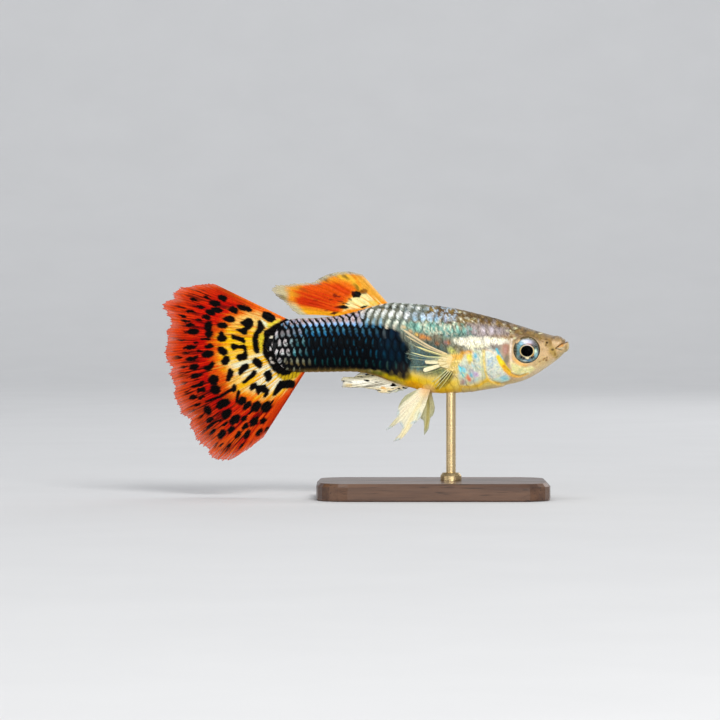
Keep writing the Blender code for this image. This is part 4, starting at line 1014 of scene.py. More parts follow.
def build_scales():
    rng = np.random.default_rng(77)
    nu, nv = 11, 13
    uu = np.linspace(0, 1, nu)[:, None]
    vv = np.linspace(-1, 1, nv)[None, :]
    a0 = 0.34
    lobe = a0 + (1 - a0) * (1 - np.abs(vv) ** 2.2) ** 0.5
    a = uu * lobe  # 0 at the root, 1 at the middle of the free edge
    across = vv * (0.80 + 0.20 * smooth(0, 0.35, a))
    groups = {}
    for b, s, side, d, h, j in scale_lattice():
        x = SNOUT_X - b
        inside = min(b, 30.5)
        p, _ = on_body(np.array(inside), np.array(s), side)
        cu, cv = to_px(x, p[2])
        jitter = rng.normal(0, 1, 6)
        if float(scaled_zone(np.array(cu + 1.0), np.array(cv))) < 0.5:
            continue
        length, width = d * 2.0, h * 1.80
        if cu < 292:
            length, width = length * (1 + 0.06 * jitter[0]), width * (1 + 0.05 * jitter[1])
            s += 0.06 * jitter[2] * smooth(292, 276, cu)
        bb = b - 0.72 * length + a * length
        ss = s + across * width / 2
        bb, ss = np.broadcast_arrays(bb, ss)
        pts, nrm = on_body(np.clip(bb, 0, 30.58), ss, side)
        deep = float((cv - line_top(cu)) / max(float(line_low(cu) - line_top(cu)), 1.0))
        flat = max(float(smooth(415, 455, cu)), float(smooth(0.74, 0.86, deep)) * float(smooth(330, 380, cu)), 0.6 * float(smooth(0.12, 0.02, deep)))
        if j >= 20:
            flat = max(flat, 0.75)
        lift = -0.160 + 0.095 * flat + (0.158 - 0.098 * flat + 0.006 * jitter[2] * (1 - flat)) * a - 0.020 * (1 - 0.5 * flat) * np.abs(vv) ** 3 + 0.012 * (1 - vv**2) * np.sin(math.pi * np.clip(a, 0, 1)) * (1 - flat)
        lift = np.broadcast_to(lift, bb.shape)
        beyond = np.clip(bb - 30.58, 0, None)
        pts = pts.copy()
        pts[..., 0] -= beyond
        wob = sweep(SNOUT_X - pts[..., 0])
        rel = pts[..., 1] - wob
        pts[..., 1] = wob + np.sign(rel) * eye_room(pts[..., 0], np.abs(rel), pts[..., 2])
        topside = pts + nrm * lift[..., None]
        thick = (0.026 + 0.012 * (1 - a)) * (1 - 0.55 * flat)
        under = pts + nrm * (lift - np.broadcast_to(thick, bb.shape))[..., None]
        key = ("right" if side < 0 else "left") + ("_fore" if b < 15.2 else "_aft")
        if j >= 20:
            key = "midline"
        groups.setdefault(key, []).append((topside, under, np.broadcast_to(a, bb.shape), np.broadcast_to(vv, bb.shape), b, s, side, d, h, cu, cv, jitter))
    mat = scale_material()
    n = nu * nv
    top_q = quads(nu, nv)
    low_q = quads(nu, nv, flip=True, start=n)
    border = (
        [c for c in range(nv - 1)] + [r * nv + nv - 1 for r in range(nu - 1)]
        + [(nu - 1) * nv + c for c in range(nv - 1, 0, -1)] + [r * nv for r in range(nu - 1, 0, -1)]
    )
    rim = np.array([[border[k], border[(k + 1) % len(border)], border[(k + 1) % len(border)] + n, border[k] + n] for k in range(len(border))])[:, ::-1]
    unit = np.concatenate([top_q, low_q, rim])
    for key, items in groups.items():
        count = len(items)
        tops = np.array([i[0] for i in items]).reshape(count, n, 3)
        lows = np.array([i[1] for i in items]).reshape(count, n, 3)
        verts = np.concatenate([tops, lows], axis=1)
        aa = np.tile(np.array([i[2] for i in items]).reshape(count, n), (1, 2))
        bb = np.tile(np.array([i[3] for i in items]).reshape(count, n), (1, 2))
        # a midline scale crosses to the other side, and every plate faces outwards
        faces = []
        for k, item in enumerate(items):
            f = unit + k * 2 * n
            mid = verts[k, (nu // 2) * nv + nv // 2]
            e1 = verts[k, (nu // 2 + 1) * nv + nv // 2] - mid
            e2 = verts[k, (nu // 2) * nv + nv // 2 + 1] - mid
            outward = mid - verts[k, n + (nu // 2) * nv + nv // 2]
            faces.append(f if np.dot(np.cross(e2, e1), outward) > 0 else f[:, ::-1])
        u, v = to_px(verts[..., 0], verts[..., 2])
        cu = np.array([i[9] for i in items])
        cv = np.array([i[10] for i in items])
        jit = np.array([i[11] for i in items])
        look = scale_looks(cu, cv, rng)
        g = {k2: (x[:, None] if x.ndim == 1 else x[:, None, :]) for k2, x in look.items()}
        base = ground(u, v)
        # the glint: a bar or crescent in the bare part of the scale
        centre = 0.745 - 0.10 * bb**2 + (0.02 + 0.05 * smooth(420, 450, cu)[:, None]) * jit[:, 3:4] + g["slant"] * bb * 0.6
        da = np.abs(aa - centre) / g["wide"]
        db = np.abs(bb) / g["tall"]
        dist = (da**2.4 + db**2.4) ** (1 / 2.4)
        loose = smooth(372, 410, cu)[:, None]
        dist = dist * (0.80 - 0.18 * loose + (0.42 + 0.45 * loose) * cloud(u, v * 0.8, 1.7, 51, 2)) + 0.16 * (cloud(u * 1.6, v * 0.6, 1.6, 53, 2) - 0.5)
        crescent = 1 - smooth(0.72 - 0.20 * loose, 1.12 + 0.16 * loose, dist)
        hollow = g["hollow"] * (1 - smooth(0.28, 0.62, dist))
        grit = smooth(0.38, 0.62, cloud(u * 1.7, v * 0.7, 1.7, 55, 2))
        strength = g["amt"] * crescent * (1 - hollow) * (1 + 0.12 * jit[:, 4:5]) * (1 - 0.55 * loose * (1 - grit) * (1 - 0.15 * (np.abs(cv - 317) < 4.5)[:, None]))
        tone = g["hi"] + (g["lo"] - g["hi"]) * smooth(-0.25, 0.55, bb / np.maximum(g["tall"], 0.2) + 0.0 * aa)[..., None]
        speck = smooth(0.50, 0.74, cloud(u * 1.3, v * 0.8, 1.4, 52, 2))
        tone = tone * (0.78 + 0.42 * speck)[..., None]
        core = (1 - smooth(0.30, 0.72, dist)) * (g["tan"] > 0) * np.clip(g["tan"], 0, 1) * smooth(0.35, -0.2, bb)
        colr = paint(base, strength, tone * (1 + 0.08 * jit[:, 5:6, None]))
        colr = paint(colr, core * 0.85, rgb(150, 112, 92))
        # free edge and flanks of each scale
        rim_dark = np.maximum(smooth(0.88, 0.99, aa), smooth(0.72, 0.95, np.abs(bb)) * smooth(0.35, 0.6, g["rim"])) * g["rim"]
        colr = paint(colr, rim_dark * (1 - strength), rgb(12, 13, 12))
        # painted shade: the plates' undersides, and with them the lower half of each plate's edge, are darkened as
        # shade
        underside_shade_mask = np.zeros_like(aa)
        underside_shade_mask[:, n:] = 1
        colr = paint(colr, underside_shade_mask * 0.6, rgb(50, 46, 38))
        shine = np.clip(0.12 + 0.75 * strength, 0, 1) * (1 - 0.7 * dark_flank(u, v) * (1 - strength))
        uvx = np.array([i[4] for i in items])[:, None]
        b0, b1 = uvx.min() - 1.5, uvx.max() + 1.5
        arc = np.array([i[5] / max(float(girth(min(i[4], 30.5))), 1e-6) for i in items])[:, None]
        dd = np.array([i[7] for i in items])[:, None]
        hh = np.array([i[8] for i in items])[:, None]
        uv_u = (uvx - b0 + (aa - 0.5) * dd * 0.84) / (b1 - b0)
        if key == "midline":
            v0 = np.where(arc > 0.5, 0.75, 0.25) + bb * 0.12
        else:
            whole = np.array([float(girth(min(i[4], 30.5))) for i in items])[:, None]
            v0 = 0.06 + 0.88 * (arc + bb * 0.42 * hh / whole)
        uv = np.stack([uv_u, np.broadcast_to(v0, uv_u.shape)], axis=-1)
        # the undersides take a small corner of the same patch
        uv[:, n:] = uv[:, n:] * 0.06 + uv[:, :n].mean(axis=1, keepdims=True) * 0.94
        obj = mesh_object(
            "scales_" + key, verts.reshape(-1, 3), np.concatenate(faces), colr.reshape(-1, 3),
            Shine=shine.reshape(-1), Ring=aa.reshape(-1) + 0.10 * (bb.reshape(-1) ** 2), Loose=(smooth(376, 420, u) * (1 - 0.8 * dark_flank(u, v)) * (1 - 0.9 * smooth(0.72, 0.84, (v - line_top(u)) / np.maximum(line_low(u) - line_top(u), 1.0))) * (1 - 0.6 * blob(u, v, 471, 368, 15, 20, 0, 0.3))).reshape(-1),
        )
        set_uv(obj, uv.reshape(-1, 2))
        give(obj, mat)


# ------------------------------------------------------------------ fins

def sheet_solid(name, mid, half, col, mat, slot=None, node=None, normal=None, **layers):
    """A closed thin solid from a grid of points on its middle surface."""
    rows, cols = mid.shape[:2]
    n = normals_of(mid) if normal is None else normal
    for _ in range(2):
        pad = np.pad(n, ((1, 1), (1, 1), (0, 0)), mode="edge")
        n = pad[:-2, 1:-1] + pad[2:, 1:-1] + pad[1:-1, :-2] + pad[1:-1, 2:] + n
        n = n / np.maximum(np.linalg.norm(n, axis=2, keepdims=True), 1e-12)
    off = n * np.broadcast_to(half, (rows, cols))[..., None]
    verts = np.concatenate([(mid + off).reshape(-1, 3), (mid - off).reshape(-1, 3)])
    count = rows * cols
    border = (
        [c for c in range(cols - 1)] + [r * cols + cols - 1 for r in range(rows - 1)]
        + [(rows - 1) * cols + c for c in range(cols - 1, 0, -1)] + [r * cols for r in range(rows - 1, 0, -1)]
    )
    b = np.array(border)
    b2 = np.roll(b, -1)
    rim = np.stack([b2, b, b + count, b2 + count], axis=1)
    faces = np.concatenate([quads(rows, cols), quads(rows, cols, flip=True, start=count), rim])
    # the quads' own turn against the offset direction
    p = mid
    test = np.cross(p[1:, :-1] - p[:-1, :-1], p[:-1, 1:] - p[:-1, :-1])
    if (test * n[:-1, :-1]).sum() > 0:
        faces = faces[:, ::-1]
    obj = mesh_object(
        name, verts, faces, np.tile(col.reshape(-1, 3), (2, 1)),
        **{k: np.tile(np.broadcast_to(x, (rows, cols)).reshape(-1), 2) for k, x in layers.items()},
    )
    give(obj, mat)
    if node:
        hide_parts(node)
    return obj


def branches(frac, r, splits, spacing, width):
    """Height from 0 to 1 of forked rays: frac is the place within one ray's sector, and each split doubles the rays from that length on."""
    offs = [0.0]
    spread = np.zeros_like(r)
    ridges = []
    a = 0.25 * smooth(splits[0], splits[0] + 2.2, r)
    b = 0.125 * smooth(splits[1], splits[1] + 2.2, r)
    for k1 in (-1, 1):
        for k2 in (-1, 1):
            off = k1 * a + k2 * b
            ridges.append(np.exp(-(((frac - off) * spacing / width) ** 2)))
    return np.max(ridges, axis=0)


CAUDAL_FOCUS, CAUDAL_TOP, CAUDAL_BOTTOM = (24.94, 16.56), 25.6, 57.4
CAUDAL_RAYS = natural_spline((12.9, 16.0, 17.0, 17.06, 16.9, 16.85, 16.8, 16.9, 17.0, 17.25, 17.2, 16.85, 12.3))

# Black marks of the tail fin: place, length and width in the side view, and turn from its ray where they don't follow it
TAIL_SPOTS = (
    (215, 303.4, 10, 6.5, 0), (206, 298, 8, 3.5, 0), (222.5, 298.2, 9, 5, 0),
    (242.4, 307.8, 11, 6, 0), (249, 310, 6, 4.5, 0), (233, 310.6, 10, 6.5, 0), (217, 310.2, 12, 4.5, 0), (210.5, 312.6, 10, 5.0, 0),
    (200.5, 306.6, 9, 3.5, 0), (222.5, 325.5, 10, 7, 0), (206, 317.5, 9, 5, 0), (208, 326.5, 7, 10, 0), (208.5, 334, 7, 7.5, 0), (221.5, 338, 10, 7, 0), (221, 333.6, 6, 4, 0), (205, 339.2, 9, 3, 0),
    (192.5, 332, 11, 6, 0), (209, 347, 8, 5, 0), (190, 347.2, 13, 3.6, 0), (207.4, 355, 11, 8, 0), (193.5, 367, 10, 6, 0),
    (191, 358.8, 13, 4.2, 0), (175, 358.4, 11, 2.8, 0), (194.5, 376.4, 9, 5.5, 0), (213, 380, 10, 10, 0), (214.8, 389.6, 10, 9, 0), (197, 386, 13, 3.6, 0), (201, 390.5, 9, 4.4, 0),
    (241.6, 401.2, 10, 7, 0), (246.8, 405.8, 11, 6, 0), (256, 407, 12, 8, 0), (266, 407, 12.5, 8.5, 0), (226, 414.2, 12, 8.5, 0),
    (207, 411, 8, 9, 0), (234.8, 420, 13, 7.5, 0), (244.4, 419, 8, 5, 0), (244.6, 427, 8, 4.6, 0), (254, 421.8, 11, 6.5, 0), (262.5, 421, 8, 5, 0), (209, 420.4, 9, 5, 0), (211, 425.6, 13, 3.4, 0),
    (221, 435, 10, 6.5, 0), (231, 430, 9, 4.6, 0), (237.6, 435.4, 8, 4.4, 0), (247.2, 435, 10, 4.8, 0), (259, 433, 9, 4.5, 0), (266.6, 431, 8, 3.6, 0), (212, 432.6, 9, 3.2, 0), (192.5, 397.8, 8, 4.6, 0),
    (201, 397.8, 8, 3.6, 0), (186, 321, 9, 3.2, 0), (190, 312, 9, 3.0, 0), (193, 300, 8, 2.6, 0), (182, 316, 9, 2.2, 0), (183.5, 384, 8, 2.6, 0), (190, 412, 8, 2.4, 0),
    (228, 446, 7, 3, 0), (214, 446, 7, 2.5, 0), (241, 446, 6, 2.5, 0), (181, 340, 9, 2.0, 0), (182, 368, 9, 2.2, 0), (200, 375, 7, 2.0, 0), (190, 325, 8, 3.0, 0),
    (198, 320, 7, 2.2, 0), (196, 343, 6, 2.4, 0), (186, 331.6, 6, 1.6, 0), (199.6, 352, 6, 2.2, 0), (185, 352.6, 7, 1.8, 0), (201.4, 382.6, 6, 1.8, 0), (187, 392, 7, 2.0, 0), (197, 405, 7, 2.2, 0),
    (200, 417, 8, 2.4, 0), (218.6, 421.4, 6, 2.6, 0), (225, 424.4, 7, 3.6, 0), (250, 412.6, 6, 2.4, 0), (272.8, 402.6, 5, 1.8, 0), (203, 432.6, 7, 2.0, 0), (221, 445, 6, 2.0, 0),
)


# Black marks of the tail fin with an outline of their own, in the side view
TAIL_PATCHES = (
    ((261.8, 315.3), (263.6, 311.2), (269.1, 312.5), (274.5, 315.7), (275.9, 319.4), (271.8, 322.4), (268.2, 321.6), (264.5, 319.4), (262.3, 317.5)),
    ((239.8, 322.5), (243.6, 320.7), (246.8, 318.2), (250.9, 318.9), (253.2, 322.1), (252.7, 326.2), (249.5, 329.4), (247.3, 330.7), (247.3, 333.9), (244.5, 334.5), (240, 332.1), (235.9, 329.8), (237.3, 328.5), (241.8, 328.2), (244.1, 326.6), (243.2, 325.3), (240.5, 324.4)),
    ((231.4, 334.4), (234.5, 335.3), (240, 336.6), (243.6, 338), (245.5, 340.7), (244.1, 343.3), (240, 341.6), (235.5, 339.8), (231.8, 339.4)),
    ((230.9, 344.4), (234.5, 343.9), (239.1, 345.7), (243.6, 344.4), (246.4, 347.1), (246.4, 350.3), (247.7, 355.3), (246.8, 358.9), (243.6, 360), (239.1, 360.9), (235.6, 357.5), (237.3, 354.4), (240.9, 353.9), (243.6, 351.6), (242.3, 349.4), (238.2, 348.9), (233.6, 350.7), (230.9, 348)),
    ((252.3, 359.8), (255.5, 357.8), (259.1, 358.9), (262.3, 362.5), (261.8, 366.6), (259.5, 368.7), (255.5, 366.2), (252.3, 363)),
    ((238.2, 369.8), (241.8, 365.3), (246.4, 363.6), (248.9, 364.8), (248.6, 368.5), (245, 371.2), (240, 375.7), (238.2, 373.9)),
    ((241.8, 381.6), (245.5, 378.5), (249.5, 374.8), (252.3, 370.7), (255.9, 370.7), (256.4, 373.5), (254.1, 377.1), (249.5, 379.8), (245.5, 383.5), (242.7, 383.5)),
    ((263.2, 374.8), (265.5, 371.6), (270, 369.8), (271.4, 373), (272.5, 377.1), (270.9, 379.8), (268.2, 382.1), (265.5, 380.7), (265.3, 377.1)),
    ((249.1, 388.5), (251.4, 384.4), (256.4, 382.5), (257.3, 385.7), (260.9, 385.3), (265, 384.8), (267.3, 388), (269.1, 390.7), (267.3, 395.3), (265, 397.5), (262.7, 397.1), (263.6, 393.5), (260.9, 392.1), (258.2, 395.3), (255.9, 392.5), (255.5, 388.9), (251.4, 391.2)),
    ((272.7, 394.4), (274.5, 390.3), (277.3, 384.4), (280, 381.2), (284.5, 380.7), (290, 379.8), (294.1, 381.2), (294.5, 385.3), (292.7, 388), (286.4, 388.9), (282.7, 388.9), (279.1, 392.1), (275.5, 395.7), (273.2, 395.5)),
    ((226, 316.4), (230, 315.7), (233.6, 317.1), (235.6, 320.3), (233.6, 322.7), (229, 322.4), (224.6, 321), (222.2, 318.6)),
    ((231.6, 386.6), (233.8, 384.2), (236.4, 386.0), (236.6, 390), (233.6, 392.6), (230.6, 391)),
    ((238.4, 389.8), (240.4, 391.4), (239.4, 396), (237.6, 402.4), (235.2, 403.2), (235.6, 397), (236.4, 392)),
    ((230, 368.5), (233.6, 371.6), (232.7, 376), (229, 381.4), (225.4, 380.8), (226.6, 375), (227.6, 370.6)),
    ((234.4, 386), (228, 389.6), (219, 395.4), (208, 399.6), (203.6, 401.4), (204, 402.8), (211, 401.4), (221, 397.8), (230, 392.4), (235, 389.6)),
    ((227.4, 399.2), (230.2, 403.4), (225.6, 407.4), (219.4, 410.2), (214.8, 407.4), (216.8, 402.8), (222, 399.4)),
    ((208, 365.4), (211.6, 361.2), (214.8, 363.4), (213.2, 367.6), (209, 371.2), (203.6, 369.8), (203.2, 367.4)),
    ((217.6, 346.8), (222, 346.4), (227.2, 350.4), (227.4, 354.4), (223, 356.2), (218.6, 353.4), (217.2, 350)),
    ((224.4, 356), (229, 356.6), (230.2, 360.6), (227.6, 364.8), (222.6, 365.2), (220.4, 361.4)),
)


def caudal_colour(u, v, r, ang, ray, t):
    """u, v in pixels, r in mm from the rays' focus, ang in degrees from straight back, ray the height of the nearest ray."""
    wob = cloud(u, v, 7, 60)
    fine = cloud(u, v, 2.2, 61)
    along = cloud(ang * 1.3, r * 0.45, 1.0, 62)
    along2 = cloud(ang * 0.62 + 5, r * 0.30, 1.0, 69)
    edge = np.interp(ang, [-26, -20, -12, 0, 15, 30, 42, 50, 58], [6.4, 8.0, 9.7, 10.9, 11.2, 10.8, 9.4, 7.8, 6.2])
    # outer field: red, darker between the rays and in drawn-out patches
    col = np.broadcast_to(rgb(198, 10, 0), u.shape + (3,)).copy()
    col = paint(col, smooth(0.50, 0.72, along) * 0.75, rgb(234, 40, 2))
    col = paint(col, (1 - ray) * 0.62, rgb(120, 4, 2))
    col = paint(col, smooth(0.52, 0.36, along) * smooth(0.38, 0.62, along2) * 0.8, rgb(84, 4, 3))
    far = smooth(13.2, 16.4, r + 1.2 * (along - 0.5))
    col = paint(col, far * (0.35 + 0.65 * ray) * 0.7, rgb(240, 76, 6))
    col = paint(col, smooth(-12, -22, ang + 4 * (wob - 0.5)) * smooth(11, 15, r) * 0.6 * (0.4 + 0.6 * ray), rgb(250, 80, 6))
    low = smooth(6, 34, ang)
    col = paint(col, far * low * (1 - 0.6 * ray) * 0.7, rgb(118, 58, 22))
    col = paint(col, smooth(34, 54, ang) * smooth(0.4, 0.65, along) * 0.75, rgb(238, 100, 8))
    # the root: yellow behind the body, orange above, cream streaks below
    orange = smooth(edge + 1.9, edge + 0.1, r + 1.1 * (wob - 0.5) + 1.6 * (along - 0.5))
    col = paint(col, orange * 0.9, rgb(240, 112, 8))
    root = smooth(edge + 0.7, edge - 1.1, r + 1.1 * (wob - 0.5) + 1.9 * (along - 0.5))
    col = paint(col, root, rgb(250, 186, 8))
    col = paint(col, root * smooth(-7, -15, ang) * 0.6, rgb(244, 150, 22))
    centre = np.exp(-(((ang - 3) / 12) ** 2))
    col = paint(col, root * centre * 0.8, rgb(254, 206, 6))
    col = paint(col, root * smooth(0.48, 0.60, cloud(ang * 0.85 + 3, r * 0.25, 1.0, 63)) * (0.66 - 0.5 * centre), rgb(250, 230, 150))
    white = root * smooth(edge + 0.1, edge - 1.6, r) * smooth(9, 17, ang) * (1 - smooth(44, 52, ang)) * smooth(0.40, 0.52, cloud(ang * 0.55 + 8, r * 0.18, 1.0, 73))
    col = paint(col, white * 0.88, rgb(240, 238, 204))
    col = paint(col, white * smooth(0.55, 0.7, along) * 0.5, rgb(206, 222, 206))
    col = paint(col, root * smooth(0.44, 0.30, along) * 0.75 * (1 - 0.6 * smooth(5, 14, ang)), rgb(234, 128, 4))
    col = paint(col, root * smooth(0.46, 0.34, cloud(ang * 0.9 + 2, r * 0.2, 1.0, 76)) * smooth(5, 14, ang) * 0.8, rgb(246, 188, 14))
    col = paint(col, root * smooth(0.30, 0.22, along) * smooth(7.5, 9, r) * 0.6, rgb(120, 60, 6))
    # both edges of the fan
    col = paint(col, smooth(-19.0, -23.5, ang + 2 * (fine - 0.5)) * smooth(14, 5, r) * 0.92, rgb(238, 84, 8))
    col = paint(col, smooth(-23.2, -25.2, ang) * smooth(15, 5, r) * 0.6, rgb(250, 140, 30))
    col = paint(col, smooth(50.5, 54.5, ang + 2.5 * (fine - 0.5)) * 0.9, rgb(214, 62, 6))
    col = paint(col, smooth(54.6, 56.6, ang) * 0.7, rgb(150, 24, 4))
    # a scalloped fringe where the fan leaves the body
    fringe = region(u, v, ((277, 372), (284, 370), (292, 367.5), (300, 369), (301, 372), (297, 377.5), (289, 379.8), (282, 380), (277, 376)), 0.9)
    col = paint(col, fringe, rgb(206, 170, 18))
    col = paint(col, fringe * (0.5 + 0.5 * np.sin(u * 2 * math.pi / 3.6 + (v - 375) * 0.35)) ** 2 * 0.75, rgb(108, 76, 6))
    top_fringe = region(u, v, ((260.5, 319), (264, 321.4), (269, 323.6), (276, 320.6), (281, 318.6), (279, 322), (273, 325), (267.5, 328.4), (264.6, 326), (262, 321.8)), 0.7)
    col = paint(col, top_fringe, rgb(236, 214, 60))
    col = paint(col, top_fringe * smooth(269, 264, u), rgb(240, 244, 214))
    # black spots, drawn out along the rays, with uneven outlines
    du = u + 2.2 * (fine - 0.5) + 2.6 * (wob - 0.5)
    dv = v + 2.2 * (cloud(u, v, 2.4, 65) - 0.5) + 2.6 * (cloud(u, v, 6, 66) - 0.5)
    black = np.zeros_like(u)
    fu, fv = 365 + (SNOUT_X - CAUDAL_FOCUS[0]) / K, 498 - CAUDAL_FOCUS[1] / K
    for cx, cy, length, width, extra in TAIL_SPOTS:
        turn = math.degrees(math.atan2(cy - fv, cx - fu)) + extra
        black = np.maximum(black, blob(du, dv, cx, cy, length / 2 * 1.13, width / 2 * 1.12, turn, 0.15))
    eu, ev = u + 1.0 * (fine - 0.5), v + 1.0 * (cloud(u, v, 2.4, 65) - 0.5)
    for points in TAIL_PATCHES:
        near = (np.abs(u - points[0][0]) < 30) & (np.abs(v - points[0][1]) < 30)
        mid_u, mid_v = np.mean([p[0] for p in points]), np.mean([p[1] for p in points])
        points = [(mid_u + 1.07 * (p[0] - mid_u), mid_v + 1.07 * (p[1] - mid_v)) for p in points]
        black[near] = np.maximum(black[near], region(eu[near], ev[near], points, 0.6))
    # the band at the tail's root and the bar behind it
    band = region(eu, ev, (
        (310, 300), (284, 319.4), (279, 322), (273, 325.2), (267.5, 328.8), (263.6, 331), (263.0, 338), (262.2, 346), (262.6, 354), (265, 359), (268.6, 364), (271.6, 369.4),
        (276, 373.4), (283, 376), (290, 374.6), (293.6, 370.4), (320, 362), (330, 340), (330, 310),
    ), 0.8)
    black = np.maximum(black, band)
    black = np.maximum(black, region(eu, ev, ((257.4, 321), (260, 319.6), (262.6, 322.6), (265.2, 328.4), (262.8, 331.5), (259.6, 334.5), (258.2, 340), (259.6, 348), (259.4, 353), (256.4, 354.4), (253.6, 351.4), (252.2, 345), (252.0, 338.4), (254, 332.4), (256.6, 329)), 0.7))
    # yellow strip between the two
    strip = region(eu, ev, ((260.6, 334.2), (263.4, 333.8), (264.0, 337.6), (262.2, 343.6), (261.8, 353.4), (260.4, 353.6), (260.0, 346.4), (259.0, 340)), 0.6)
    black = np.maximum(black * (1 - strip), 0)
    col = paint(col, strip, rgb(216, 196, 44))
    thin = smooth(0.66, 0.72, cloud(ang * 1.9, r * 0.36, 1.0, 68)) * smooth(11.0, 12.5, r) * (1 - smooth(15.6, 16.6, r))
    black = np.maximum(black, thin * 0.9)
    thin = smooth(0.64, 0.70, cloud(ang * 2.4 + 9, r * 0.42, 1.0, 72)) * smooth(13.0, 13.8, r) * (1 - smooth(16.0, 17.0, r))
    black = np.maximum(black, thin * 0.7)
    col = paint(col, black, rgb(4, 2, 2))
    # pearly spots on the black of the tail's root
    for cx, cy, length, width, turn, c in (
        (271.6, 337.6, 3.6, 2.7, -60, (222, 214, 190)), (267.8, 348.2, 3.6, 2.2, 70, (176, 150, 62)), (268.6, 350.4, 2.2, 1.6, 70, (190, 186, 150)), (272.4, 362.4, 4.2, 2.2, 30, (198, 188, 176)),
        (270.6, 358.6, 3.0, 2.0, 60, (190, 182, 170)),
    ):
        col = paint(col, blob(eu, ev, cx, cy, length / 2 * 1.1, width / 2 * 1.1, turn, 0.3), rgb(*c))
    return col * (0.79 + 0.25 * fine)[..., None]


def build_caudal():
    nt, nr = 430, 106
    t = np.linspace(0, 1, nt)[None, :]
    k = np.linspace(0, 1, nr)[:, None]
    ang = CAUDAL_BOTTOM * t - CAUDAL_TOP * (1 - t)
    length = CAUDAL_RAYS(t * 12)
    sectors = 21
    frac = (t * sectors) % 1.0 - 0.5
    # every fine ray ends at its own length, with soft lobes on a larger scale
    strand = t * sectors * 5.7
    number = np.floor(strand).astype(int)
    table = np.random.default_rng(5).random((4, 600))
    inner = strand - number - 0.5
    tooth = np.exp(-((inner / 0.42) ** 2)) * (0.06 + 0.34 * table[0][number % 600] ** 1.6)
    slow = 1.15 * (cloud(t * 30, t * 0 + 3.0, 1.0, 70, 3) - 0.5) + 0.8 * (cloud(t * 9, t * 0 + 9.0, 1.0, 71, 2) - 0.5)
    notch = (
        -0.80 * np.exp(-(((ang + 5.5) / 2.4) ** 2)) - 0.50 * np.exp(-(((ang - 11.0) / 1.2) ** 2)) - 0.40 * np.exp(-(((ang - 18.2) / 1.0) ** 2)) - 0.4 * np.exp(-(((ang - 31) / 0.8) ** 2))
        - 0.30 * np.exp(-(((ang + 14.5) / 0.8) ** 2)) - 0.25 * np.exp(-(((ang + 0.5) / 0.6) ** 2)) + 0.30 * np.exp(-(((ang + 11) / 1.5) ** 2))
    )
    limit = length + slow * 0.6 + notch - 0.18 + tooth
    start = 2.6
    r = start + (limit - start) * k**0.90
    rad = np.radians(ang + 0 * k)
    fx, fz = SNOUT_X - CAUDAL_FOCUS[0], CAUDAL_FOCUS[1]
    out = np.clip((r - 5.0) / 12.0, 0, None)
    y = sweep(CAUDAL_FOCUS[0] + np.minimum(r, 6.0)) + 2.2 * out**1.6 + 0.30 * out * np.sin(19 * t + 0.6)
    spacing = r * math.radians(CAUDAL_TOP + CAUDAL_BOTTOM) / sectors
    ray = branches(frac + 0 * k, r, (5.6, 9.2), spacing, np.clip(0.05 + 0.055 * (r / 9), 0.03, 0.1))
    y = y + 0.05 * out * np.sin(frac * 2 * math.pi) + 0.07 * smooth(14, 17, r) * (table[1][number % 600] - 0.5)
    mid = np.stack([fx - r * np.cos(rad), y, fz - r * np.sin(rad)], axis=-1)
    u, v = to_px(mid[..., 0], mid[..., 2])
    col = caudal_colour(u, v, r, ang + 0 * r, ray, t)
    gap = limit - r
    col = paint(col, smooth(1.5, 0.2, gap) * (0.45 + 0.45 * ray), rgb(230, 84, 14))
    half = 0.030 + 0.070 * ray * (0.15 + 0.85 * smooth(0.2, 3.0, gap)) + 0.05 * smooth(7, 3, r)
    half = half * (0.35 + 0.65 * smooth(0.0, 0.5, gap))
    streak = cloud(ang * 2.3, r * 0.25, 1.0, 74)
    hair = cloud(ang * 5.0, r * 0.30, 1.0, 75, 2)
    web = 1 - ray
    cover = 1 - 0.30 * smooth(1.2, 0.1, gap + 1.6 * (hair - 0.5)) - 0.14 * web * smooth(3.0, 0.4, gap) - 0.10 * web * smooth(8, 13, r) * smooth(20, 45, ang)
    cover = cover - 0.10 * smooth(0.5, 0.65, streak) * smooth(2.8, 0.8, gap)
    sheet_solid("caudal_fin_web", mid, half, col, fin_material("tail_fin", alpha=True), "caudal_fin", "caudal_fin", Along=r * 0.55 + 0 * ray, Cover=np.clip(cover, 0.16, 1))


def ray_fan(base, tips, nt, nu, lift=1.0):
    """Grid from a base line to a smooth row of tips, both as (back, height): returns back, height, t, k."""
    tip = [natural_spline(c) for c in zip(*tips)]
    t = np.linspace(0, 1, nt)[None, :]
    k = np.linspace(0, 1, nu)[:, None]
    n = len(tips) - 1
    bx = base[0][0] + (base[1][0] - base[0][0]) * t
    bz = base[0][1] + (base[1][1] - base[0][1]) * t
    return bx, bz, tip[0](t * n), tip[1](t * n), t, k


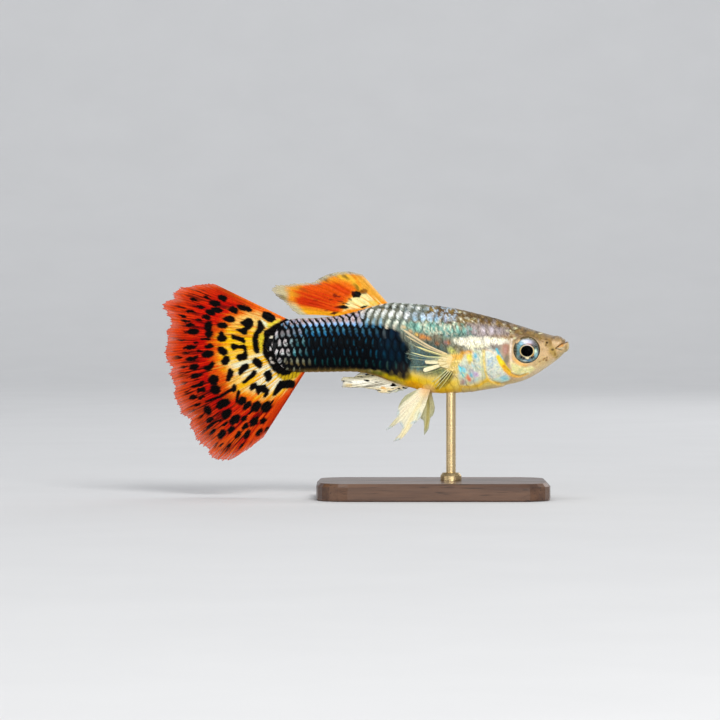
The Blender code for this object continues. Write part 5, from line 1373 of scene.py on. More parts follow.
def build_dorsal():
    nt, nu = 260, 88
    base = ((18.30, 19.80), (22.6, 18.55))
    tips = ((21.42, 23.29), (23.60, 23.58), (25.6, 22.9), (27.95, 22.18), (30.30, 21.86), (29.90, 20.6), (27.9, 18.95))
    bx, bz, tx, tz, t, k = ray_fan(base, tips, nt, nu)
    sectors = 8
    frac = (t * sectors) % 1.0 - 0.5
    strand = t * sectors * 4.0
    number = np.floor(strand).astype(int)
    table = np.random.default_rng(8).random(400)
    tooth = np.exp(-(((strand - number - 0.5) / 0.32) ** 2)) * (0.15 + 0.6 * table[number % 400]) * 0.045
    slow = 0.045 * (cloud(t * 14, t * 0 + 2, 1.0, 81, 2) - 0.5) * 2
    reach = 1 + slow + tooth * smooth(0.30, 0.5, t) - 0.025
    kk = k * reach
    curl = -0.25 * np.sin(math.pi * kk) * smooth(0.15, 0.8, t)
    x = SNOUT_X - (bx + (tx - bx) * kk)
    z = bz + (tz - bz) * kk - curl * 0.6
    length = np.hypot(tx - bx, tz - bz)
    y = kk**1.5 * (0.12 + 0.5 * np.sin(2.4 * t + 0.3)) + 0.03 * kk * np.sin(frac * 2 * math.pi)
    mid = np.stack([x, y, z], axis=-1)
    u, v = to_px(x, z)
    r = kk * length
    spacing = (0.5 + kk * 6.5) / sectors
    ray = branches(frac + 0 * kk, r, (1.8, 4.2), spacing, 0.075 + 0 * r)
    wob, fine = cloud(u, v, 7, 83), cloud(u, v, 2.4, 84)
    along = cloud(t * 26, kk * 1.4, 1.0, 85)
    broad = cloud(t * 11, kk * 1.0, 1.0, 87)
    col = np.broadcast_to(rgb(246, 150, 26), u.shape + (3,)).copy()
    su, sv = u + 5 * (wob - 0.5), v + 4 * (along - 0.5)
    red = region(su, sv, ((294, 291), (304, 286), (318, 285), (327, 282), (338, 283), (350, 288), (353, 293), (346, 300), (338, 304), (341, 312), (325, 314), (311, 313), (302, 308), (297, 300)), 3.5)
    col = paint(col, red, rgb(232, 78, 4))
    col = paint(col, blob(su, sv, 313, 300, 15, 6.5, 0, 0.6) * 0.9, rgb(198, 38, 4))
    col = paint(col, blob(su, sv, 330, 297, 14, 7, 10, 0.6) * 0.5, rgb(222, 52, 2))
    col = paint(col, red * (1 - ray) * 0.40, rgb(150, 34, 2))
    col = paint(col, red * smooth(0.55, 0.7, along) * 0.45, rgb(250, 116, 8))
    # orange and yellow rays above and in front
    col = paint(col, region(su, sv, ((326, 277), (345, 272), (366, 279), (379, 296), (364, 292), (350, 284)), 2.5) * smooth(0.42, 0.60, along) * 0.85, rgb(252, 196, 58))
    col = paint(col, region(su, sv, ((356, 276), (366, 279), (384, 300), (378, 301), (362, 287)), 2.0) * 0.8, rgb(240, 174, 60))
    col = paint(col, region(su, sv, ((338, 280), (352, 283), (358, 292), (346, 290)), 2.0) * 0.6, rgb(238, 92, 8))
    for cx, cy, rx, ry, turn, c in (
        (326.0, 279.0, 4.2, 1.7, 25, (104, 80, 26)), (345.4, 278.2, 4.6, 1.6, 32, (122, 94, 26)), (357, 288.4, 4.6, 1.5, 48, (116, 104, 26)), (319, 284.6, 3.6, 1.2, 20, (150, 90, 22)),
        (302, 289.6, 4.5, 1.2, 12, (168, 92, 20)), (306, 292.4, 4.0, 1.0, 8, (176, 84, 14)), (335, 275, 3.6, 1.0, 30, (176, 140, 60)),
    ):
        col = paint(col, blob(su, sv, cx, cy, rx, ry, turn, 0.7) * 0.75, rgb(*c))
    # yellow along the foot
    foot = smooth(0.955, 0.90, kk) * smooth(0.84, 0.95, t + 0.05 * (along - 0.5))
    col = paint(col, foot * 0.9, rgb(252, 188, 34))
    col = paint(col, smooth(-1.2, 1.0, v - np.interp(u, [300, 320, 345], [312.5, 313.6, 311.5])) * smooth(348, 338, u) * 0.85, rgb(250, 176, 30))
    # cream streaks at the front of the base
    cream = region(su, sv, ((351, 299), (360, 294), (366, 292.5), (379, 299), (382, 304), (368, 307), (358, 308.5), (350, 309.5), (344, 311), (346, 304)), 1.6)
    col = paint(col, cream * smooth(0.30, 0.46, along), rgb(251, 238, 166))
    col = paint(col, cream * smooth(0.60, 0.72, along) * 0.6, rgb(246, 200, 70))
    col = paint(col, region(su, sv, ((369, 301), (378, 299.5), (379, 304.5), (370, 306)), 1.2) * 0.7, rgb(240, 196, 56))
    # pale, clear margins
    pale = np.maximum(smooth(0.90, 0.985, k), smooth(292, 284, su) * smooth(0.6, 0.8, kk))
    pale = np.maximum(pale, smooth(0.80, 0.93, t) * smooth(0.55, 0.75, kk) * smooth(0.78, 0.90, k))
    col = paint(col, pale * 0.88, rgb(204, 200, 158))
    col = paint(col, pale * smooth(0.50, 0.36, along) * 0.8, rgb(128, 108, 44))
    col = paint(col, region(su, sv, ((284, 287), (298, 286), (300, 302), (290, 302)), 3) * smooth(0.45, 0.6, along) * 0.7, rgb(226, 160, 38))
    col = paint(col, smooth(0.05, 0.0, t) * 0.6, rgb(238, 206, 150))
    du, dv = u + 1.8 * (fine - 0.5), v + 1.6 * (cloud(u, v, 2.2, 86) - 0.5)
    black = np.zeros_like(u)
    for cx, cy, rx, ry, turn in (
        (335.1, 295.7, 2.6, 1.9, 10), (350.2, 299.5, 2.2, 1.1, 15), (338.4, 296.4, 2.6, 0.9, 5),
        (326.2, 310.6, 1.8, 0.9, 0), (345.5, 303.6, 4.4, 0.6, 12), (314.8, 300, 1.6, 1.0, 0), (330.6, 299.8, 1.8, 0.8, 0), (340, 301.2, 3.6, 0.6, 10),
    ):
        black = np.maximum(black, blob(du, dv, cx, cy, rx, ry, turn, 0.35) * (0.9 if rx > 2.5 else 0.65))
    for pts in (
        ((351.4, 291.4), (355.5, 291.0), (360.5, 291.6), (361.2, 294.4), (359.6, 297.6), (353.8, 297.4), (351.8, 294.4)),
        ((334.4, 307.6), (338.4, 305.8), (343.4, 305.0), (347.4, 306.6), (350.0, 308.6), (342, 309.0)),
        ((360.0, 307.4), (363.4, 305.8), (368.4, 305.4), (366.2, 307.6), (361.6, 308.8)),
        ((329.4, 313.6), (333.4, 312.0), (339.4, 312.2), (335.4, 314.2)),
    ):
        black = np.maximum(black, region(du, dv, pts, 0.5))
    col = paint(col, region(du, dv, ((360, 291), (363, 288.4), (368, 290), (366.5, 294), (361.5, 294.4)), 1.0) * 0.8, rgb(96, 48, 6))
    col = paint(col, black, rgb(6, 3, 2))
    col = paint(col, red * 0.30, rgb(214, 52, 0))
    col = col * (0.78 + 0.24 * fine)[..., None]
    half = 0.03 + 0.065 * ray * (1 - 0.7 * smooth(0.5, 1.0, kk)) + 0.05 * smooth(0.25, 0.0, kk)
    streak = cloud(t * 30, kk * 1.2, 1.0, 88)
    cover = 1 - 0.45 * smooth(0.88, 1.0, k + 0.06 * (streak - 0.5)) - 0.25 * (1 - ray) * smooth(0.75, 0.95, k)
    sheet_solid("dorsal_fin_web", mid, half, col, fin_material("dorsal_fin_web", alpha=True), "dorsal_fin", "dorsal_fin", Along=r * 0.8, Cover=np.clip(cover, 0.3, 1))


def build_anal():
    nt, nu = 210, 90
    # rays start along the foot under the body and sweep back to the margin, both drawn in the side view
    foot = np.array(((409.5, 386.6), (405.0, 385.2), (400.0, 383.2), (394.0, 380.8), (387.0, 377.6), (380.0, 374.8), (372.0, 372.4), (364.0, 370.8)))
    margin = np.array((
        (404.5, 389.8), (397.0, 392.2), (388.0, 393.6), (379.0, 392.6), (372.6, 389.6), (364.0, 388.2), (355.0, 387.3), (347.0, 387.9), (339.2, 386.8), (340.6, 384.2), (339.8, 380.6), (342.4, 377.0),
        (346.6, 378.2), (351.8, 378.0), (353.8, 376.4), (357.0, 374.6), (360.6, 372.4), (363.0, 370.9),
    ))
    at = np.linspace(0, 1, nt)

    def along_line(pts, at):
        steps = np.concatenate([[0], np.cumsum(np.hypot(*np.diff(pts, axis=0).T))])
        steps /= steps[-1]
        return np.interp(at, steps, pts[:, 0]), np.interp(at, steps, pts[:, 1])

    fu, fv = along_line(foot, np.clip(np.interp(at, [0, 0.30, 0.62, 1], [0, 0.16, 0.42, 1.0]), 0, 1))
    mu, mv = along_line(margin, at)
    for line in (mu, mv):
        line[1:-1] = (line[:-2] + 2 * line[1:-1] + line[2:]) / 4
    t, k = at[None, :], np.linspace(0, 1, nu)[:, None]
    rng = np.random.default_rng(9)
    strand = t * 46
    number = np.floor(strand).astype(int)
    own = rng.random((2, 80))
    reach = 0.965 + 0.05 * (cloud(t * 16, t * 0 + 4, 1.0, 90, 2) - 0.5) * 2 - 0.05 * own[0][number % 80] * (1 - np.exp(-(((strand - number - 0.5) / 0.33) ** 2)))
    kk = np.clip(k * reach, 0, 1)
    u = fu + (mu - fu) * kk
    v = fv + (mv - fv) * kk + 1.3 * np.sin(math.pi * kk) * smooth(0.15, 0.5, t) * (1 - smooth(0.75, 1.0, t))
    x, z = from_px(u, v)
    frac = (t * 15) % 1.0 - 0.5
    r = kk * 5
    y = 0.12 * np.sin(3 * kk) + 0.05 * np.sin(frac * 2 * math.pi) * kk
    mid = np.stack([x, y, z], axis=-1)
    ray = np.exp(-((frac / 0.22) ** 2)) + 0 * kk
    fine = cloud(u, v, 2.4, 91)
    streak = cloud(t * 44, kk * 1.6, 1.0, 92)
    broad = cloud(t * 13, kk * 1.2, 1.0, 95, 2)
    upper = smooth(0.70, 0.80, t)
    col = np.broadcast_to(rgb(238, 231, 206), u.shape + (3,)).copy()
    col = paint(col, smooth(0.50, 0.62, streak) * 0.55, rgb(222, 214, 180))
    col = paint(col, smooth(0.56, 0.70, broad) * 0.5, rgb(240, 212, 152))
    core = region(u, v, ((398, 386.5), (392, 383.0), (376, 381.2), (352, 379), (345, 379.6), (345, 382.4), (362, 385.6), (378, 387.4), (392, 388.0)), 1.2)
    col = paint(col, core * smooth(0.40, 0.54, streak) * 0.9, rgb(252, 249, 234))
    col = paint(col, upper * 0.8, rgb(176, 168, 124))
    col = paint(col, upper * smooth(0.48, 0.38, streak) * 0.85, rgb(58, 54, 36))
    col = paint(col, smooth(0.47, 0.36, streak) * smooth(0.12, 0.32, kk) * (1 - 0.45 * core) * 0.85, rgb(66, 60, 42))
    col = paint(col, smooth(0.22, 0.08, t) * smooth(0.4, 0.8, k) * 0.6, rgb(200, 212, 200))
    col = paint(col, smooth(0.12, 0.0, kk) * 0.75, rgb(214, 150, 40))
    col = paint(col, region(u, v, ((352, 383.8), (346, 384), (345, 387), (352, 387)), 0.9) * 0.6, rgb(214, 184, 112))
    du, dv = u + 1.0 * (fine - 0.5), v + 0.8 * (cloud(u, v, 2.0, 93) - 0.5)
    black = np.zeros_like(u)
    for cx, cy, rx, ry, turn in (
        (366.6, 380.6, 2.9, 1.0, 8), (350.0, 382.2, 3.0, 0.45, 4), (376.0, 382.2, 1.6, 0.4, 6), (398.8, 388.6, 1.3, 0.8, 0), (392.6, 388.6, 1.5, 0.5, 0), (403.8, 387.4, 1.3, 0.9, 0),
        (406.8, 388.4, 2.0, 0.7, -10), (389.8, 391.4, 2.4, 0.5, 0), (378.0, 390.4, 3.2, 0.5, 2), (374.2, 386.4, 1.8, 0.35, 2), (402.6, 383.2, 1.6, 0.9, 0), (343.4, 381.0, 1.2, 0.6, 10),
        (367.0, 374.4, 2.6, 0.6, 4), (372.6, 375.6, 1.4, 0.5, 4), (360, 377.0, 3.2, 0.5, 6),
    ):
        black = np.maximum(black, blob(du, dv, cx, cy, rx, ry, turn, 0.35))
    black = np.maximum(black, region(du, dv, ((389.8, 386.0), (392.4, 382.9), (394.6, 383.4), (397.0, 386.0), (393, 386.6)), 0.4))
    col = paint(col, black, rgb(10, 8, 5))
    col = paint(col, blob(du, dv, 383.4, 388.0, 2.4, 1.3, 20, 0.5) * 0.8, rgb(238, 176, 72))
    col = col * (0.90 + 0.20 * fine)[..., None]
    half = 0.026 + 0.045 * ray * (1 - 0.5 * kk) + 0.05 * smooth(0.2, 0.0, kk)
    cover = 1 - 0.75 * smooth(0.44, 0.34, streak) * smooth(0.10, 0.30, kk) * (1 - 0.75 * core) - 0.30 * upper * (1 - smooth(0.5, 0.6, streak)) - 0.35 * smooth(0.86, 1.0, k)
    cover = np.maximum(cover, black)
    sheet_solid("anal_fin_web", mid, half, col, fin_material("anal_fin_web", alpha=True), "pale_fin", "anal_fin", Along=kk * 5, Cover=np.clip(cover, 0.15, 1))


PELVIC = {
    "r": (
        (14.7, 11.18),
        ((-24, 0.75), (-2, 1.35), (6, 2.2), (13, 3.1), (20, 3.7), (27, 5.0), (33, 6.3), (37, 4.3), (42, 4.4), (46, 5.9), (50, 4.0), (57, 3.5), (74, 2.3), (92, 1.0)),
        20.0,
    ),
    "l": (
        (14.4, 11.07),
        ((-30, 0.8), (-19, 1.6), (-14, 2.5), (-6, 2.85), (0, 3.9), (6, 4.7), (11, 3.4), (18, 3.0), (32, 2.4), (50, 1.4)),
        27.0,
    ),
}


PELVIC_LINE = {
    "r": (
        (430.0, 389.5), (429.0, 393.5), (427.4, 399.0), (424.6, 406.0), (422.0, 412.5), (420.0, 417.6), (417.4, 420.6), (414.6, 423.0), (411.4, 422.6), (410.6, 424.6), (408.6, 430.0), (404.0, 435.6), (399.6, 439.2),
        (392.6, 440.8), (397.4, 436.6), (400.8, 431.4), (402.4, 427.6), (400.8, 424.0), (399.0, 421.4), (395.4, 424.2), (391.0, 427.4), (385.6, 429.8), (389.6, 424.6), (394.0, 419.6), (396.8, 416.6), (396.4, 413.6),
        (397.6, 409.4), (398.6, 405.0), (401.4, 399.6), (405.6, 394.8), (413.0, 391.0), (420.0, 387.6),
    ),
    "l": (
        (431.4, 390.0), (432.2, 395.0), (433.2, 401.6), (435.2, 408.0), (434.8, 411.6), (433.4, 416.0), (430.8, 418.2), (429.8, 423.4), (429.0, 429.6), (427.0, 433.0), (424.6, 436.2), (424.2, 431.2), (424.6, 427.4),
        (424.0, 421.4), (421.6, 419.6), (419.6, 416.6), (420.6, 410.0), (422.4, 402.0), (424.4, 395.0), (426.2, 389.4),
    ),
}


PELVIC_ROOT = {"r": (426.6, 388.6), "l": (429.0, 389.0)}


def build_pelvic(tag):
    side = -1 if tag == "r" else 1
    splay = PELVIC[tag][2]
    outline = np.array(PELVIC_LINE[tag])
    ru, rv = PELVIC_ROOT[tag]
    # even steps round the outline, from the root's front to its back
    steps = np.concatenate([[0], np.cumsum(np.hypot(*np.diff(outline, axis=0).T))])
    nt, nu = 240, 60
    at = np.linspace(0, steps[-1], nt)
    ou, ov = np.interp(at, steps, outline[:, 0]), np.interp(at, steps, outline[:, 1])
    for _ in range(2):
        ou[1:-1] = (ou[:-2] + 2 * ou[1:-1] + ou[2:]) / 4
        ov[1:-1] = (ov[:-2] + 2 * ov[1:-1] + ov[2:]) / 4
    k = np.linspace(0, 1, nu)[:, None]
    # rays leave a short stem at the root and sweep back towards the tips
    t = np.linspace(0, 1, nt)[None, :]
    stem_u = ru + (4.2 if tag == "r" else 2.6) * (0.5 - t) * 1.0
    stem_v = rv + 0 * t
    bend = 0.10 if tag == "r" else 0.04
    du, dv = ou[None, :] - stem_u, ov[None, :] - stem_v
    u = stem_u + du * k - dv * bend * np.sin(math.pi * k) * -0.5
    v = stem_v + dv * k + du * bend * np.sin(math.pi * k) * -0.5
    x, z = from_px(u, v)
    r = np.hypot(u - ru, v - rv) * K
    turn = np.degrees(np.arctan2(ru - u, v - rv))
    frac = (turn / (9.5 if tag == "r" else 8.0)) % 1.0 - 0.5
    ray = branches(frac, r, (1.4, 3.0), 0.12 + r * 0.16, 0.07 + 0 * r)
    y = 0.55 + r * math.tan(math.radians(splay)) * (1 - 0.05 * r) + 0.03 * r / 4 * np.sin(frac * 2 * math.pi)
    mid = np.stack([x, side * y, z], axis=-1)
    fine = cloud(u, v, 2.4, 96 + (side > 0))
    streak = cloud(turn / 6.5, r * 0.35, 1.0, 98 + (side > 0))
    edge = smooth(0.80, 1.0, k) + 0 * u
    if tag == "r":
        col = np.broadcast_to(rgb(240, 234, 204), u.shape + (3,)).copy()
        col = paint(col, smooth(0.50, 0.66, streak) * 0.35, rgb(244, 226, 184))
        d = stroke(u, v, (427, 391), (421, 401), (413, 413), (407, 427), (401, 436))[0]
        col = paint(col, np.exp(-((d / 2.0) ** 2)) * 0.65, rgb(240, 222, 162))
        d = stroke(u, v, (424, 391), (410, 403), (401, 412))[0]
        col = paint(col, np.exp(-((d / 1.6) ** 2)) * 0.4, rgb(246, 222, 190))
        col = paint(col, blob(u, v, 424, 399, 2.4, 5.5, 30, 0.6) * 0.45, rgb(188, 172, 148))
        col = paint(col, region(u, v, ((418, 389), (405, 394.6), (399.6, 401), (398, 408), (403, 402), (412, 395.4)), 1.0) * 0.85, rgb(166, 168, 128))
        for cx, cy, rx, ry, turn_ in ((397.8, 412.4, 1.4, 3.6, 10), (401.6, 424.4, 1.4, 3.6, -25), (414.0, 421.8, 3.8, 1.5, -15), (419, 415.6, 1.2, 3.8, 22), (396.4, 439.6, 4.0, 1.4, -30), (389, 427.5, 4.0, 1.6, -38)):
            col = paint(col, blob(u, v, cx, cy, rx, ry, turn_, 0.6) * 0.75, rgb(186, 206, 216))
        col = paint(col, blob(u, v, 394, 421.4, 6, 2.0, -45, 0.6) * 0.6, rgb(206, 196, 148))
        col = paint(col, blob(u, v, 417, 414, 2.6, 5.0, 20, 0.6) * 0.5, rgb(224, 230, 196))
        col = paint(col, smooth(1.3, 0.1, r) * 0.9, rgb(238, 196, 140))
    else:
        col = np.broadcast_to(rgb(226, 224, 176), u.shape + (3,)).copy()
        d = stroke(u, v, (428, 396), (428.6, 408), (428.0, 420), (426, 431))[0]
        col = paint(col, np.exp(-((d / 1.7) ** 2)) * 0.8, rgb(190, 174, 88))
        col = paint(col, smooth(428, 434, v) * 0.7, rgb(204, 204, 178))
        col = paint(col, edge * 0.4, rgb(184, 196, 170))
        col = paint(col, smooth(1.3, 0.1, r) * 0.85, rgb(224, 190, 130))
        col = paint(col, smooth(0.45, 0.30, streak) * 0.35, rgb(130, 124, 62))
    col = paint(col, (1 - ray) * 0.14, rgb(170, 160, 120))
    col = col * (0.93 + 0.14 * fine)[..., None]
    half = (0.030 + 0.045 * ray * (1 - 0.6 * k) + 0.10 * smooth(0.9, 0.0, r)) * (0.4 + 0.6 * smooth(1.0, 0.9, k))
    cover = 1 - 0.18 * edge - 0.12 * (1 - ray) * smooth(0.5, 0.9, k)
    sheet_solid(f"pelvic_fin_web_{tag}", mid, half, col, fin_material(f"pelvic_fin_web_{tag}", alpha=True), "pale_fin", f"pelvic_fin_{tag}", Along=r * 1.1, Cover=np.clip(cover, 0.4, 1))


# Rays of the pectoral fin, top to bottom: root, a middle point and tip in the side view, half width at root and near
# the tip in mm, colour, and one more number for each ray
PECTORAL_RAYS = (
    ((449.0, 354.8), (428.0, 345.8), (402.4, 329.0), 0.085, 0.110, (222, 202, 162), 1.0),
    ((448.6, 355.4), (427.0, 347.6), (404.6, 334.6), 0.080, 0.070, (204, 186, 146), 1.0),
    ((448.4, 355.8), (430.0, 346.6), (408.0, 333.0), 0.080, 0.060, (232, 208, 158), 1.0),
    ((448.0, 356.4), (428.6, 350.6), (415.4, 345.8), 0.070, 0.085, (236, 226, 160), 1.0),
    ((447.8, 356.8), (428.0, 352.2), (407.0, 341.6), 0.050, 0.030, (150, 156, 124), 0.7),
    ((447.6, 357.2), (426.0, 356.2), (410.4, 351.6), 0.060, 0.060, (214, 220, 164), 1.0),
    ((447.4, 357.8), (424.0, 357.6), (404.0, 352.0), 0.045, 0.022, (140, 166, 152), 0.6),
    ((447.2, 358.6), (424.0, 359.8), (406.0, 357.0), 0.045, 0.022, (150, 172, 150), 0.6),
    ((446.8, 359.4), (436.4, 358.6), (434.6, 356.8), 0.120, 0.140, (250, 240, 196), 1.0),
    ((446.6, 361.0), (434.6, 361.8), (424.4, 360.9), 0.150, 0.215, (252, 242, 200), 1.0),
    ((446.6, 362.8), (434.0, 366.6), (422.8, 370.0), 0.150, 0.225, (251, 240, 198), 1.0),
    ((447.0, 363.6), (428.0, 366.4), (409.0, 366.2), 0.050, 0.028, (176, 196, 156), 0.7),
    ((447.4, 365.0), (434.0, 371.2), (416.0, 374.0), 0.050, 0.028, (150, 152, 96), 0.7),
    ((450.4, 365.6), (441.0, 374.0), (430.4, 382.0), 0.055, 0.036, (190, 194, 140), 1.0),
    ((451.2, 366.8), (443.0, 375.6), (433.6, 384.4), 0.055, 0.036, (206, 204, 156), 1.0),
    ((452.0, 367.8), (445.4, 376.2), (435.6, 387.0), 0.055, 0.036, (200, 196, 132), 1.0),
    ((453.0, 368.8), (448.0, 377.0), (438.4, 389.0), 0.055, 0.036, (196, 190, 112), 1.0),
    ((454.4, 370.0), (451.2, 376.4), (443.6, 386.6), 0.045, 0.030, (170, 150, 60), 1.0),
)
PECTORAL_SPLAY = 24.0


def pectoral_y(u, v, ru, rv, f, k):
    reach = np.hypot(u - ru, v - rv) * K
    return 2.30 - 0.34 * f + reach * math.tan(math.radians(PECTORAL_SPLAY)) * (1 - 0.45 * f) + 0.08 * np.sin(7 * f) * k


def build_pectoral(tag):
    side = -1 if tag == "r" else 1
    steps, around = 30, 12
    verts, faces, cols, along, lines = [], [], [], [], []
    start = 0
    last = len(PECTORAL_RAYS) - 1
    for number, ((ru, rv), (bu, bv), (tu, tv), w0, w1, colour, solid) in enumerate(PECTORAL_RAYS):
        k = np.linspace(0, 1, steps)
        f = number / last
        bend = np.hypot(bu - ru, bv - rv) / (np.hypot(bu - ru, bv - rv) + np.hypot(tu - bu, tv - bv))
        u = np.interp(k, [0, bend, 1], [ru, bu, tu])
        v = np.interp(k, [0, bend, 1], [rv, bv, tv])
        for _ in range(18):
            u[1:-1] = (u[:-2] + 2 * u[1:-1] + u[2:]) / 4
            v[1:-1] = (v[:-2] + 2 * v[1:-1] + v[2:]) / 4
        x, z = from_px(u, v)
        y = pectoral_y(u, v, ru, rv, f, k)
        line = np.stack([x, side * y, z], axis=1)
        lines.append(line)
        tangent = np.gradient(line, axis=0)
        tangent /= np.linalg.norm(tangent, axis=1, keepdims=True)
        outward = np.array([0.35, side, 0.0])
        outward = outward - tangent * (tangent @ outward)[:, None]
        outward /= np.linalg.norm(outward, axis=1, keepdims=True)
        across = np.cross(tangent, outward)
        width = w0 + (w1 - w0) * smooth(0.1, 0.85, k)
        round_end = 0.90 if w1 > 0.1 else 0.75
        width = width * np.sqrt(np.clip(1 - smooth(round_end, 1.0, k) ** 2, 0.02, 1)) * (0.93 + 0.14 * cloud(k * 6, k * 0 + number, 1.0, 121))
        thick = np.minimum(width, 0.055) * (1 - 0.35 * k)
        a = 2 * math.pi * np.arange(around) / around
        ring = line[:, None] + across[:, None] * (np.cos(a)[None, :, None] * width[:, None, None]) + outward[:, None] * (np.sin(a)[None, :, None] * thick[:, None, None])
        verts.append(ring.reshape(-1, 3))
        verts.append(np.array([line[0], line[-1] + tangent[-1] * 0.01]))
        faces.append(quads(steps, around, wrap=True, flip=side < 0, start=start))
        c = np.arange(around)
        caps = np.concatenate([
            np.stack([c, (c + 1) % around, np.full(around, steps * around)], axis=1),
            np.stack([(steps - 1) * around + (c + 1) % around, (steps - 1) * around + c, np.full(around, steps * around + 1)], axis=1),
        ]) + start
        faces.append(caps[:, ::-1] if side < 0 else caps)
        start += steps * around + 2
        tone = np.broadcast_to(rgb(*colour), (steps, around, 3)).copy()
        tone = paint(tone, np.broadcast_to(smooth(0.5, 0.7, cloud(k * 9, k * 0 + number, 1.0, 120))[:, None] * 0.3, (steps, around)), rgb(240, 222, 172))
        tone = paint(tone, np.broadcast_to(smooth(0.30, 0.05, k)[:, None] * 0.7, (steps, around)), rgb(244, 220, 156))
        cols += [tone.reshape(-1, 3), tone[0, :1], tone[-1, :1]]
        along += [np.repeat(k * 5, around), [0, 5]]
    quad_faces = np.concatenate([f for f in faces if f.shape[1] == 4])
    tri_faces = np.concatenate([f for f in faces if f.shape[1] == 3])
    obj = mesh_object(f"pectoral_fin_rays_{tag}", np.concatenate(verts), [quad_faces, tri_faces], np.concatenate(cols), Along=np.concatenate(along), Cover=1.0)
    give(obj, fin_material(f"pectoral_rays_{tag}"))
    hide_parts(f"pectoral_fin_{tag}")
    # the clear web between the rays
    order = [0, 1, 4, 6, 7, 11, 12, 13, 14, 15, 16, 17]
    pts = np.array([lines[i] for i in order])
    splines = [[natural_spline(pts[:, s, axis]) for axis in range(3)] for s in range(steps)]
    t = np.linspace(0, len(order) - 1, 120)
    grid = np.array([[f(t) for f in trio] for trio in splines]).transpose(0, 2, 1)
    trim = 1 - 0.05 * (0.5 - 0.5 * np.cos(2 * math.pi * t))[None, :, None]
    grid = grid[:1] + (grid - grid[:1]) * trim * 0.97
    n = np.linspace(0, 1, steps)[:, None]
    u, v = to_px(grid[..., 0], grid[..., 2])
    col = np.broadcast_to(rgb(214, 212, 170), u.shape + (3,)).copy()
    cover = (0.045 + 0.30 * smooth(0.30, 0.0, n + 0 * u) + 0.16 * smooth(1.6, 0.2, t)[None, :]) * (1 - 0.7 * smooth(7.0, 8.0, t)[None, :])
    sheet_solid(f"pectoral_fin_web_{tag}", grid, 0.010, col, fin_material(f"pectoral_web_{tag}", alpha=True), "pectoral_fin", Along=n * 5 + 0 * u, Cover=cover)
    # the fleshy palm: a low mound that rises from the flank and thins out over the first part of the rays
    nk, na = 34, 52
    rho = np.linspace(0, 1, nk)[1:, None]
    th = 2 * math.pi * np.arange(na)[None, :] / na
    pu = 448.0 + rho * np.cos(th) * np.where(np.cos(th) > 0, 6.0, 10.5)
    pv = 360.6 + rho * np.sin(th) * (7.2 - 1.0 * np.cos(th)) * (1 + 0.05 * np.sin(5 * th + 1))
    x, z = from_px(pu, pv)
    crown = (1 - rho**2) ** 0.8 + 0 * th
    back = smooth(453, 443, pu)
    skin_y = flank_out(pu, pv) + 0.02
    reach = np.hypot(np.clip(448.5 - pu, 0, None), 0.8 * (pv - 360.6)) * K
    plane = 2.22 + reach * math.tan(math.radians(PECTORAL_SPLAY)) * 0.80
    lie = np.maximum(skin_y, plane) * back + skin_y * (1 - back)
    grooves = 0.5 + 0.5 * np.sin(np.degrees(np.arctan2(pv - 361.4, pu - 462)) / 1.9)
    y = lie - 0.07 * rho**4 + 0.075 * crown - 0.045 * grooves * back * crown
    lie = lie * back + (skin_y - 0.25) * (1 - back)
    front = np.stack([x, side * y, z], axis=-1)
    rear = np.stack([x, side * (np.minimum(y - 0.05, lie - 0.12) - 0.12 * crown), z], axis=-1)
    tip_f = np.array([*from_px(448.0, 360.6)])
    lie0 = float(y[0].mean())
    count = (nk - 1) * na
    verts = np.concatenate([
        front.reshape(-1, 3), rear.reshape(-1, 3), [[tip_f[0], side * lie0, tip_f[1]], [tip_f[0], side * (lie0 - 0.45), tip_f[1]]],
    ])
    c = np.arange(na)
    q = np.concatenate([
        quads(nk - 1, na, wrap=True), quads(nk - 1, na, wrap=True, flip=True, start=count),
        np.stack([(nk - 2) * na + c, (nk - 2) * na + (c + 1) % na, count + (nk - 2) * na + (c + 1) % na, count + (nk - 2) * na + c], axis=1),
    ])
    tri = np.concatenate([
        np.stack([(c + 1) % na, c, np.full(na, 2 * count)], axis=1), np.stack([count + c, count + (c + 1) % na, np.full(na, 2 * count + 1)], axis=1),
    ])
    u, v = to_px(verts[:, 0], verts[:, 2])
    col = np.broadcast_to(rgb(236, 220, 168), (len(verts), 3)).copy()
    ray_lines = cloud(np.degrees(np.arctan2(v - 361.4, u - 460)) / 2.6, np.hypot(u - 460, v - 361.4) / 30, 1.0, 131, 2)
    col = paint(col, smooth(0.46, 0.60, ray_lines) * smooth(453, 444, u) * 0.75, rgb(186, 158, 96))
    col = paint(col, blob(u, v, 449.5, 360.5, 3.4, 5.0, 0, 0.6) * 0.6, rgb(250, 216, 144))
    col = paint(col, smooth(449.5, 452.8, u + 0.4 * (v - 360)) * smooth(365, 359, v), rgb(244, 182, 62))
    col = paint(col, smooth(449.5, 453.0, u) * smooth(360, 366, v) * 0.85, rgb(236, 214, 122))
    col = paint(col, smooth(357.0, 353.8, v) * 0.7, rgb(196, 194, 120))
    col = paint(col, smooth(442.0, 439.0, u) * smooth(359.0, 356.0, v) * 0.6, rgb(130, 126, 84))
    col = paint(col, smooth(450.5, 453.6, u + 0.5 * (v - 360)) * 0.9, ground(u, v))
    obj = mesh_object(f"pectoral_fin_base_{tag}", verts, [q, tri], col, Shine=0.05)
    face = obj.data.polygons[na * 3]
    if face.normal.y * side < 0:
        obj.data.flip_normals()
    give(obj, fin_material(f"pectoral_palm_{tag}"))


# ------------------------------------------------------------------ eyes

EYE_RADIUS, EYE_DEPTH, EYE_SIT = 1.41, 0.98, 1.34


